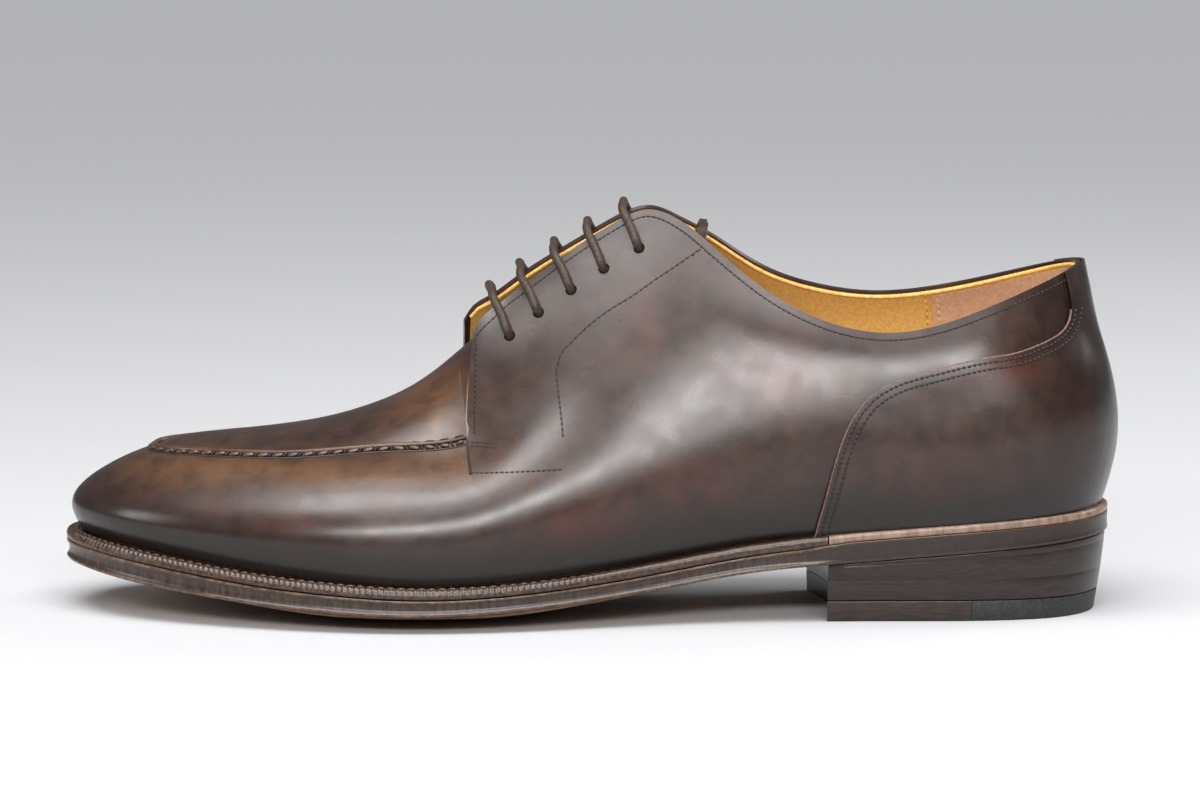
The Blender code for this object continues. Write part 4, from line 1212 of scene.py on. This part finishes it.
def plate(name, edge_of, top_of, bottom_of, dish, step):
    """A closed plate in two halves; its edge is rounded and may be hollow."""
    inner = np.linspace(0, 1, PLATE_ROWS + 1)[:-1]
    points, faces, kinds = [], [], []
    for side in (1, -1):
        rows = []
        for s in stations(0, TOE_TIP, step):
            out = outward(side * s)
            plan = [plate_point(side * s, r, edge_of) for r in inner]
            row = [(x, y, bottom_of(x, r)) for r, (x, y) in zip(inner, plan)]
            x, y = edge_of(side * s)
            low, high = bottom_of(x, 1), top_of(x, 1)
            depth = dish * float(np.interp(x, *DISH_FADE))
            for share, dent in PLATE_EDGE:
                away = out * -depth * dent
                row.append((x + away[0], y + away[1], low + (high - low) * share))
            row += [(x, y, top_of(x, r)) for r, (x, y) in zip(inner[::-1], plan[::-1])]
            rows.append(row)
        grid = np.array(rows)
        count, across = grid.shape[:2]
        faces += grid_faces(count, across, len(points), flip=side > 0)
        points += grid.reshape(-1, 3).tolist()
        kinds += [plate_part(j - PLATE_ROWS + 1) for j in range(across - 1)] * (count - 1)
    mesh = mesh_of(name, points, faces)
    mesh.polygons.foreach_set("material_index", kinds)
    piece = piece_of(name, mesh)
    weld(piece, outward_from_volume=True)
    return piece


def insole_bottom(x, r):
    return sole_top(x, r) + GAP


def band(name, low_s, high_s, profile, step):
    """A strip along the feather line, with the wheel's marks where its profile has them."""
    rings = []
    run = past_toe(stations(low_s, high_s, step))
    feet = np.array([feather_line(s) for s in run])
    for s, foot, travelled in zip(run, feet, lengths_along(feet)):
        edge = float(edge_width[side_of(s)](abs(s)))
        start = {"inner": -WELT_INNER, "feather": 0.0, "edge": edge}
        out = outward(s)
        wave = 0.5 - 0.5 * math.cos(2 * math.pi * travelled / WHEEL_PITCH)
        mark = WHEEL_DEPTH * wave * float(ease(foot[0], *WHEEL_FROM))
        ring = []
        for kind, away, share, press in profile:
            x, y = foot + out * (start[kind] + away - mark * press)
            low = float(sole_top(x, 1)) + GAP
            high = float(sole_level(x, "feather")) - GAP
            dip = mark if press else 0.0
            ring.append((x, y, low + (high - low) * share - dip))
        rings.append(ring)
    return sweep(name, rings)


def welt():
    start = BREAST_S[1] + BREAST_SPLIT
    strip = band("welt_strip", start, 2 * TOE_TIP - BREAST_S[-1] - BREAST_SPLIT, WELT_PROFILE, 0.125)
    dress(strip, (WELT_BROWN,), "welt_leather", "welt", angle=60)


def heel_rand():
    start = BREAST_SPLIT - BREAST_S[-1]
    strip = band("rand_strip", start, BREAST_S[1] - BREAST_SPLIT, RAND_PROFILE, 0.4)
    dress(strip, (RAND_BEIGE_AND_HIGHLIGHT,), "rand_leather", "heel_rand", angle=60)


def soles():
    outsole = plate("leather_sole", sole_edge, sole_top, sole_bottom, SOLE_DISH, 0.4)
    dress(outsole, (SOLE_UNDER, SOLE_RIM, SOLE_EDGE_BROWN, SOLE_UNDER), "sole_leather", "outsole",
          angle=45)
    sock = plate("insole_sock", insole_edge, insole_top, insole_bottom, SOCK_DISH, 0.8)
    dress(sock, (HEEL_TAN,) * 4, "lining_leather", "insole", angle=45)


def breast_line(outer_end, inner_end):
    """The heel's hollow front, from its outer to its inner corner."""
    points = []
    for share in BREAST_SHARES:
        point = outer_end + (inner_end - outer_end) * share
        point[0] -= BREAST_HOLLOW * (1 - (2 * share - 1) ** 2)
        points.append(point)
    return points


def heel_ring(height, run, dent=0.0):
    inset = HEEL_SETBACK + (sole_bottom(TAPER_X, 1) - height) * HEEL_TAPER + dent
    return [sole_edge(s, inset) for s in run]


def heel_part(name, levels, ring_at, top_of=None):
    """A slab of the heel through plan rings: levels are heights and dents."""
    rings = []
    for height, dent in levels:
        rings.append([(x, y, height) for x, y in ring_at(height, dent)])
    if top_of:
        span = levels[-1][0] - levels[0][0]
        for ring, (height, _) in zip(rings, levels):
            share = (height - levels[0][0]) / span
            for i, (x, y, z) in enumerate(ring):
                ring[i] = (x, y, z + (top_of(x) - levels[-1][0]) * share ** 3)
    return sweep(name, rings)


def grooved(low, high, lines=()):
    """Heights and dents of a heel's side: rounded rims, and a fine groove at each line."""
    levels = [(low + up, dent) for up, dent in FOOT_ROUND]
    for line in lines:
        levels += [(line + up, dent) for up, dent in GROOVE]
    return levels + [(high + up, dent) for up, dent in HEAD_ROUND]


def tip_joint_s(side):
    """s at which the joint of rubber tip and top piece meets one side of the heel."""
    samples = np.arange(4, 26, 0.1)
    edge_x = [heel_ring(0, [side * s])[0][0] for s in samples]
    return float(np.interp(TIP_JOINT_X, edge_x, samples))


def heel():
    around = np.linspace(-BREAST_S[-1], BREAST_S[1], 150)
    outer_joint, inner_joint = tip_joint_s(1), tip_joint_s(-1)

    def whole(height, dent):
        ring = heel_ring(height, around, dent)
        return ring + breast_line(ring[-1], ring[0])

    def rear(height, dent):
        behind = [s for s in around if LIFT_SPLIT - inner_joint < s < outer_joint - LIFT_SPLIT]
        ring = heel_ring(height, behind, dent)
        x = TIP_JOINT_X - TIP_CLEAR
        return ring + [(x, ring[-1][1]), (x, ring[0][1])]

    def front(height, dent):
        outer = heel_ring(height, [s for s in around if s > outer_joint], dent)
        inner = heel_ring(height, [s for s in around if s < -inner_joint], dent)
        ring = outer + breast_line(outer[-1], inner[0]) + inner
        return ring + [(TIP_JOINT_X, inner[-1][1]), (TIP_JOINT_X, outer[0][1])]

    top = float(sole_bottom(TAPER_X, 1)) - GAP
    lifts = heel_part("heel_lifts", grooved(HEEL_LIFT + LIFT_SPLIT, top, LIFT_LINES), whole,
                      lambda x: float(sole_bottom(x, 1)) - GAP)
    dress(lifts, (HEEL_DARK,), "heel_leather", "heel_stack", angle=50)
    tip = heel_part("rubber_tip", grooved(0.0, HEEL_LIFT), rear)
    dress(tip, (RUBBER,), "heel_rubber", "heel_tip", angle=50)
    top_piece = heel_part("leather_top_piece", grooved(0.0, HEEL_LIFT), front)
    dress(top_piece, (HEEL_TOP_DARK,), "heel_leather", "top_piece", angle=50)


# Hand-sewn apron seam

SEAM_PITCH = 4.45
SHADOW_LINE_DOWN = 1.75           # the dark line of painted shadow below the seam
SHADOW_LINE_RADIUS = 0.3
FLANK_T = SEAM_T - 0.05      # the wall's normal is read here, just below the seam
SEAM_EASE = (-6, 26)         # distances from a facing over which the seam grows to its full size

# Roll above the seam: place from the seam, lift, size, and shares of size at the facings and beyond
ROLL_IN = 0.75
ROLL_LIFT = (0.35, 0.05)
ROLL_RADIUS = 0.85
ROLL_SWELL = (0.55, 0.45)
ROLL_TAN = 0.55

# Lumps of leather below the seam, between its stitches
LUMP_SIZE = (3.9, 1.5, 1.1)
LUMP_DOWN = 0.7
LUMP_LIFT = 0.45
LUMP_TILT = 0.35             # how far the lumps face out of the shoe and not just out of the wall
LUMP_SLANT = (0.96, 0.2)
LUMP_SIZES = (0.93, 1.07)
LUMP_SWELL = (0.7, 0.3)
LUMP_TAN = 0.45

# Thread between the lumps, and its second row above the roll
SLIT_SIZE = (2.3, 0.62, 0.6)
SLIT_SLANT = 0.6
SLIT_LIFT = 0.12
INNER_SIZE = (2.9, 0.5, 0.4)
INNER_IN = 1.75
INNER_LIFT = 0.08


class SeamLine:
    """The apron seam from one facing round the toe to the other, measured by its length."""

    def __init__(self):
        run = past_toe(stations(FACING_FRONT, 2 * TOE_TIP - FACING_FRONT, 0.2))
        self.points = np.array([wall(s, SEAM_T) for s in run])
        self.out = np.array([(*outward(s), 0) for s in run])
        self.up = np.array([self.crown_normal(s) for s in run])
        self.flank = np.array([self.below(s, LUMP_DOWN, LUMP_LIFT) for s in run])
        self.flank_out = np.array([wall_normal(s, FLANK_T) for s in run])
        self.foot = np.array([self.below(s, SHADOW_LINE_DOWN, 0.02) for s in run])
        self.lengths = lengths_along(self.points)
        self.length = float(self.lengths[-1])

    @staticmethod
    def below(s, distance, lift):
        """The wall's point a distance down the rib from the seam."""
        lengths = rib(round(float(s), 5))[1]
        t = float(np.interp(lengths[SEAM_T] - distance, lengths, range(len(lengths))))
        return wall_skin(s, t, lift)

    @staticmethod
    def crown_normal(s):
        here, inside = crown(s, 1.0), crown(s, 0.97)
        beside = crown(s + 0.1 if s < TOE_TIP - 0.2 else s - 0.1, 1.0)
        return turned_to(unit(np.cross(inside - here, beside - here)), UP)

    def pick(self, rows, distance):
        return row_at(distance, self.lengths, rows)

    def at(self, distance):
        """Point, direction, and unit vectors outwards, upwards and in over the apron."""
        near = 0.3
        run = unit(self.pick(self.points, distance + near) - self.pick(self.points, distance - near))
        out, up = unit(self.pick(self.out, distance)), unit(self.pick(self.up, distance))
        return self.pick(self.points, distance), run, out, up, turned_to(np.cross(up, run), -out)

    def flank_frame(self, distance):
        """Down the flank of the seam, and out of it, as unit vectors."""
        run, out, up = self.at(distance)[1:4]
        face_out = square_to(self.pick(self.flank_out, distance) + out * LUMP_TILT, run)
        return turned_to(np.cross(run, face_out), -up), face_out

    def share(self, distance):
        """Less than 1 near the facings, 1 over the forepart and toe."""
        from_end = min(distance, self.length - distance)
        return float(ease(np.array(from_end), *SEAM_EASE))


def blob(length, width, height, rings=7, sides=8):
    """Points and faces of a rounded lump along x, about its own middle."""
    points = []
    for u in np.linspace(-1, 1, rings):
        swell = (1 - abs(u) ** 2.6) ** 0.6 if abs(u) < 1 else 0.0
        for k in range(sides):
            angle = 2 * math.pi * k / sides
            points.append((u * length / 2, math.cos(angle) * width / 2 * swell,
                           math.sin(angle) * height / 2 * swell))
    faces = grid_faces(rings, sides, round_columns=True, flip=True)
    return np.array(points), faces


def copies(name, shape, places, material, slot, node):
    """Copies of one small shape, joined: places hold origin, three axes and a scale."""
    local, shape_faces = shape
    points, faces = [], []
    for origin, x_axis, y_axis, z_axis, scale in places:
        start = len(points) * len(local)
        points.append(origin + local * scale @ np.array((x_axis, y_axis, z_axis)))
        faces += [tuple(start + i for i in face) for face in shape_faces]
    piece = piece_of(name, mesh_of(name, np.concatenate(points), faces))
    weld(piece, 0.004)
    dress(piece, (material,), slot, node, angle=70)
    return piece


def apron_roll(line):
    """The roll of leather above the seam, and a dark line of painted shadow below it."""
    crest, radii = [], []
    steps = stations(0, line.length, 0.8)
    for d in steps:
        point, _, _, up, inside = line.at(d)
        swell = ROLL_SWELL[0] + ROLL_SWELL[1] * line.share(d)
        crest.append(point + inside * ROLL_IN + up * (ROLL_LIFT[0] * swell + ROLL_LIFT[1]))
        radii.append(ROLL_RADIUS * swell)
    roll = sweep("apron_ridge", tube(crest, radii, 12))
    burnish_and_shade_piece(roll, ROLL_TAN)
    dress(roll, (UPPER_CALF,), "upper_calf", "upper", angle=80)
    # painted shadow: a dark tube on the wall along the foot of the lumps
    shadow_line = sweep("apron_shadow_line", tube([line.pick(line.foot, d) for d in steps], SHADOW_LINE_RADIUS))
    dress(shadow_line, (DARK_EDGE,), "upper_calf", "upper", angle=80)


def apron_seam():
    """Roll, lumps and thread of the hand-sewn seam."""
    line = SeamLine()
    apron_roll(line)
    rng = random.Random(3)
    lumps, slits, inner_row = [], [], []
    for n in range(int(line.length / SEAM_PITCH)):
        d = (n + 0.5) * SEAM_PITCH
        point, run, _, up, inside = line.at(d)
        down, face_out = line.flank_frame(d)
        slant = square_to(run * LUMP_SLANT[0] + down * LUMP_SLANT[1], face_out)
        size = rng.uniform(*LUMP_SIZES) * (LUMP_SWELL[0] + LUMP_SWELL[1] * line.share(d))
        lumps.append((line.pick(line.flank, d), slant, np.cross(face_out, slant), face_out, size))
        inner_row.append((point + inside * INNER_IN + up * INNER_LIFT, run, inside, up, 1.0))
        between = d + SEAM_PITCH / 2
        down, face_out = line.flank_frame(between)
        slit = square_to(down + run * SLIT_SLANT, face_out)
        place = line.pick(line.flank, between) + face_out * SLIT_LIFT
        slits.append((place, slit, np.cross(face_out, slit), face_out, 1.0))
    piece = copies("apron_lumps", blob(*LUMP_SIZE), lumps, UPPER_CALF, "upper_calf", "upper")
    burnish_and_shade_piece(piece, LUMP_TAN)
    copies("apron_stitches", blob(*SLIT_SIZE, 6, 6), slits, THREAD, "upper_calf", "upper")
    copies("apron_inner_stitches", blob(*INNER_SIZE, 6, 6), inner_row, THREAD, "upper_calf", "upper")


# Machine stitches: length, width and height of a stitch, pitches, and distances from edges

UPPER_STITCH = (1.3, 0.64, 0.5)
NEEDLE_HOLE = (0.55, 0.5, 0.12)
RIM_IN = 2.3
RIM_PITCH = 1.6
RIM_HOLES_FROM = 1.2
QUARTER_PITCH = 1.8
QUARTER_HOLES_FROM = 1.3
SHORT_PITCH = 1.5
COUNTER_STITCH = (1.4, 0.78, 0.6)
COUNTER_INSETS = (1.3, 3.2)
COUNTER_PITCH = 1.55
COUNTER_STITCHED = (0.4, COUNTER_KNOTS - 2.2)    # stretch of the cut edge that the rows follow
WELT_STITCH = (2.5, 0.75, 0.6)
WELT_STITCH_OUT = 1.15       # from the feather line
WELT_STITCH_DOWN = 0.3
WELT_STITCH_PITCH = 2.9
LINING_STITCH = (1.7, 0.5, 0.4)
LINING_STITCH_PITCH = 2.2
LINING_ROWS_ASIDE = (-0.5, 0.55)    # steps of s from the heel lining's seam
LINING_ROWS_IN = 0.42
LINING_ROWS_T = (3.55, 4.93)

# Seam of the quarter, from the bar tack up to the topline: x and height
QUARTER_LINE = ((7.7, 54.8), (8.6, 62.9), (9.6, 70.3), (9.4, 73.8), (8.1, 77.2), (5.2, 80.3),
                (-0.2, 85.3), (-7.6, 90.5), (-15, 95.2), (-24.5, 101.6), (-32.3, 106.7))

# Bar tack and lower row of the facing: x and height of both ends
SHORT_ROWS = (((33.9, 51.0), (26.0, 51.0)), ((33.9, 52.0), (26.0, 52.0)),
              ((34.6, 44.3), (7.7, 46.0)))
TAB_FOOT = (36.0, 43.6)      # the facing's front edge ends here, down on the vamp
TAB_EDGE_RADIUS = 0.38
TAB_EDGE_LIFT = 0.08
COUNTER_RIM_RADIUS = 0.34
COUNTER_RIM_DOWN = 0.3       # its middle, below the counter's outer face
COUNTER_RIM_SPAN = (0.3, COUNTER_KNOTS - 2.4)


def stitch_places(path, pitch, start=0.4):
    places = []
    for n in range(int((path.length - start) / pitch) + 1):
        point, run, normal = path.at(start + n * pitch)
        places.append((point, run, np.cross(normal, run), normal, 1.0))
    return places


def upper_stitches():
    """Stitches, and needle holes as dots of painted shade, along topline and facings and up the quarters.
    """
    seams, holes = [], []
    for side in (1, -1):
        rim = Path(rim_path(side, RIM_IN))
        seams += stitch_places(rim, RIM_PITCH)
        holes += stitch_places(rim, RIM_PITCH, RIM_HOLES_FROM)
    for side in (1, -1):
        line = Path([(side * s, t) for s, t in (locate(x, z) for x, z in QUARTER_LINE)])
        seams += stitch_places(line, QUARTER_PITCH)
        holes += stitch_places(line, QUARTER_PITCH, QUARTER_HOLES_FROM)
        for ends in SHORT_ROWS:
            row = [locate(x, z) for x, z in np.linspace(*ends, 5)]
            seams += stitch_places(Path([(side * s, t) for s, t in row]), SHORT_PITCH)
    copies("upper_stitches", blob(*UPPER_STITCH, 5, 6), seams, THREAD, "upper_calf", "upper")
    copies("upper_needle_hole_shades", blob(*NEEDLE_HOLE, 3, 6), holes, HOLE_SHADE, "upper_calf", "upper")


def counter_stitches():
    """Two rows inside the counter's cut edge."""
    edge = counter_outline(np.linspace(*COUNTER_STITCHED, 40))
    run = unit(np.gradient(edge, axis=0))
    inwards = np.stack((-run[:, 1], run[:, 0]), axis=1)
    rows = []
    for inset in COUNTER_INSETS:
        for side in (1, -1):
            pairs = [locate(x, z, side, COUNTER_OUT) for x, z in edge + inwards * inset]
            rows += stitch_places(Path(pairs, COUNTER_OUT, curve=False), COUNTER_PITCH)
    copies("counter_stitches", blob(*COUNTER_STITCH, 5, 6), rows, THREAD, "counter_calf", "counter")


def on_welt(x, y):
    return np.array((x, y, float(sole_level(x, "feather")) - GAP - WELT_STITCH_DOWN))


def welt_stitches():
    run = past_toe(stations(BREAST_S[1] + 1, 2 * TOE_TIP - BREAST_S[-1] - 1, 0.3))
    plan = np.array([from_feather(s, WELT_STITCH_OUT) for s in run])
    lengths = lengths_along(plan)
    rows = []
    for d in np.arange(1, lengths[-1] - 1, WELT_STITCH_PITCH):
        low, here, high = [on_welt(*row_at(d + e, lengths, plan)) for e in (-0.5, 0, 0.5)]
        direction = unit(high - low)
        up = square_to(UP, direction)
        rows.append((here, direction, np.cross(up, direction), up, 1.0))
    copies("welt_stitches", blob(*WELT_STITCH, 5, 6), rows, WELT_THREAD, "welt_leather", "welt")


def facing_tab():
    """The edge of the facing's lower corner, which lies flat on the vamp."""
    foot = locate(*TAB_FOOT)[1]
    for side, name in ((1, "outer"), (-1, "inner")):
        route = [wall_skin(side * FACING_FRONT, t, TAB_EDGE_LIFT)
                 for t in stations(CORNER_T, foot, 0.02)]
        edge = sweep(f"tab_edge_{name}", tube(route, TAB_EDGE_RADIUS))
        dress(edge, (DARK_EDGE,), "upper_calf", "upper")


def lining_seam():
    """Two rows of stitches where the heel lining ends."""
    rows = []
    for aside in LINING_ROWS_ASIDE:
        pairs = [(HEEL_SEAM_S + aside, t) for t in stations(*LINING_ROWS_T, 0.2)]
        path = Path(pairs, LINING_LIFT - LINING - LINING_ROWS_IN, curve=False)
        rows += stitch_places(path, LINING_STITCH_PITCH)
    copies("lining_seam", blob(*LINING_STITCH, 5, 6), rows, LINING_EDGE, "lining_leather", "upper")


def counter_rim():
    """The cut edge of the counter, a thin paler line."""
    edge = counter_outline(np.linspace(*COUNTER_RIM_SPAN, 60))
    for side, name in ((1, "outer"), (-1, "inner")):
        pairs = [locate(x, z, side, COUNTER_OUT) for x, z in edge]
        route = [wall_skin(s, t, COUNTER_OUT - COUNTER_RIM_DOWN) for s, t in pairs]
        rim = sweep(f"counter_rim_{name}", tube(route, COUNTER_RIM_RADIUS))
        dress(rim, (CUT_EDGE,), "counter_calf", "counter", angle=80)


# Floor, light and camera

AIM = (-2.8, 0.0, 60.2)
CAMERA_FROM = (-2.8, 1290.9, 214.1)
LENS = 133.3
SENSOR = 36.0
FLOOR_GREY = (0.47, 0.47, 0.48)
ROOM_COLOUR = (0.93, 0.95, 1.0, 1)
ROOM_LIGHT = 0.16
LIGHTS_AIM = (0, 0, 60)
SKY_LIGHT = 2.7
SKY_SPREAD = 60              # degrees
SKY_TILT = -14

# Soft boxes: name, place, width and height, and power in watts
LIGHTS = (
    ("top_box", (0, 350, 1100), (1300, 420), 11.0),
    ("front_strip", (60, 1250, 640), (1200, 170), 16.0),
    ("side_toe", (1000, 250, 420), (300, 400), 2.0),
    ("side_rear", (-1000, -500, 700), (500, 500), 4.0),
)


def aimed(piece, place, aim):
    piece.location = Vector(place) * MM
    piece.rotation_euler = (Vector(aim) - Vector(place)).to_track_quat("-Z", "Y").to_euler()


def studio():
    bpy.ops.mesh.primitive_plane_add(size=60)
    floor = bpy.context.object
    floor.name = "floor"
    floor.data.materials.append(Looks("pale_floor").shade(Base_Color=FLOOR_GREY, Roughness=0.7,
                                                          Specular_IOR_Level=0.1))
    world = bpy.data.worlds.new("soft_room")
    bpy.context.scene.world = world
    world.use_nodes = True
    room = world.node_tree.nodes["Background"]
    room.inputs["Color"].default_value = ROOM_COLOUR
    room.inputs["Strength"].default_value = ROOM_LIGHT
    for name, place, size, power in LIGHTS:
        box = bpy.data.lights.new(name, "AREA")
        box.shape = "RECTANGLE"
        box.size, box.size_y = size[0] * MM, size[1] * MM
        box.energy = power
        aimed(piece_of(name, box), place, LIGHTS_AIM)
    sky = bpy.data.lights.new("soft_sky", "SUN")
    sky.angle = math.radians(SKY_SPREAD)
    sky.energy = SKY_LIGHT
    piece_of("soft_sky", sky).rotation_euler = (math.radians(SKY_TILT), 0, 0)
    view = bpy.data.cameras.new("camera")
    view.lens = LENS
    view.sensor_width = SENSOR
    view.clip_start = 0.05
    view.clip_end = 60
    camera = piece_of("camera", view)
    aimed(camera, CAMERA_FROM, AIM)
    bpy.context.scene.camera = camera
    bpy.context.scene.view_settings.view_transform = "Standard"


def build():
    leather = upper_leather()
    lining = linings()
    punch_eyelets(leather, lining)
    smooth(leather, 50)
    smooth(lining, 50)
    counter_leather()
    tongue_leather()
    laces()
    soles()
    welt()
    heel_rand()
    heel()
    apron_seam()
    upper_stitches()
    counter_stitches()
    welt_stitches()
    facing_tab()
    lining_seam()
    counter_rim()
    studio()


build()
deselect()
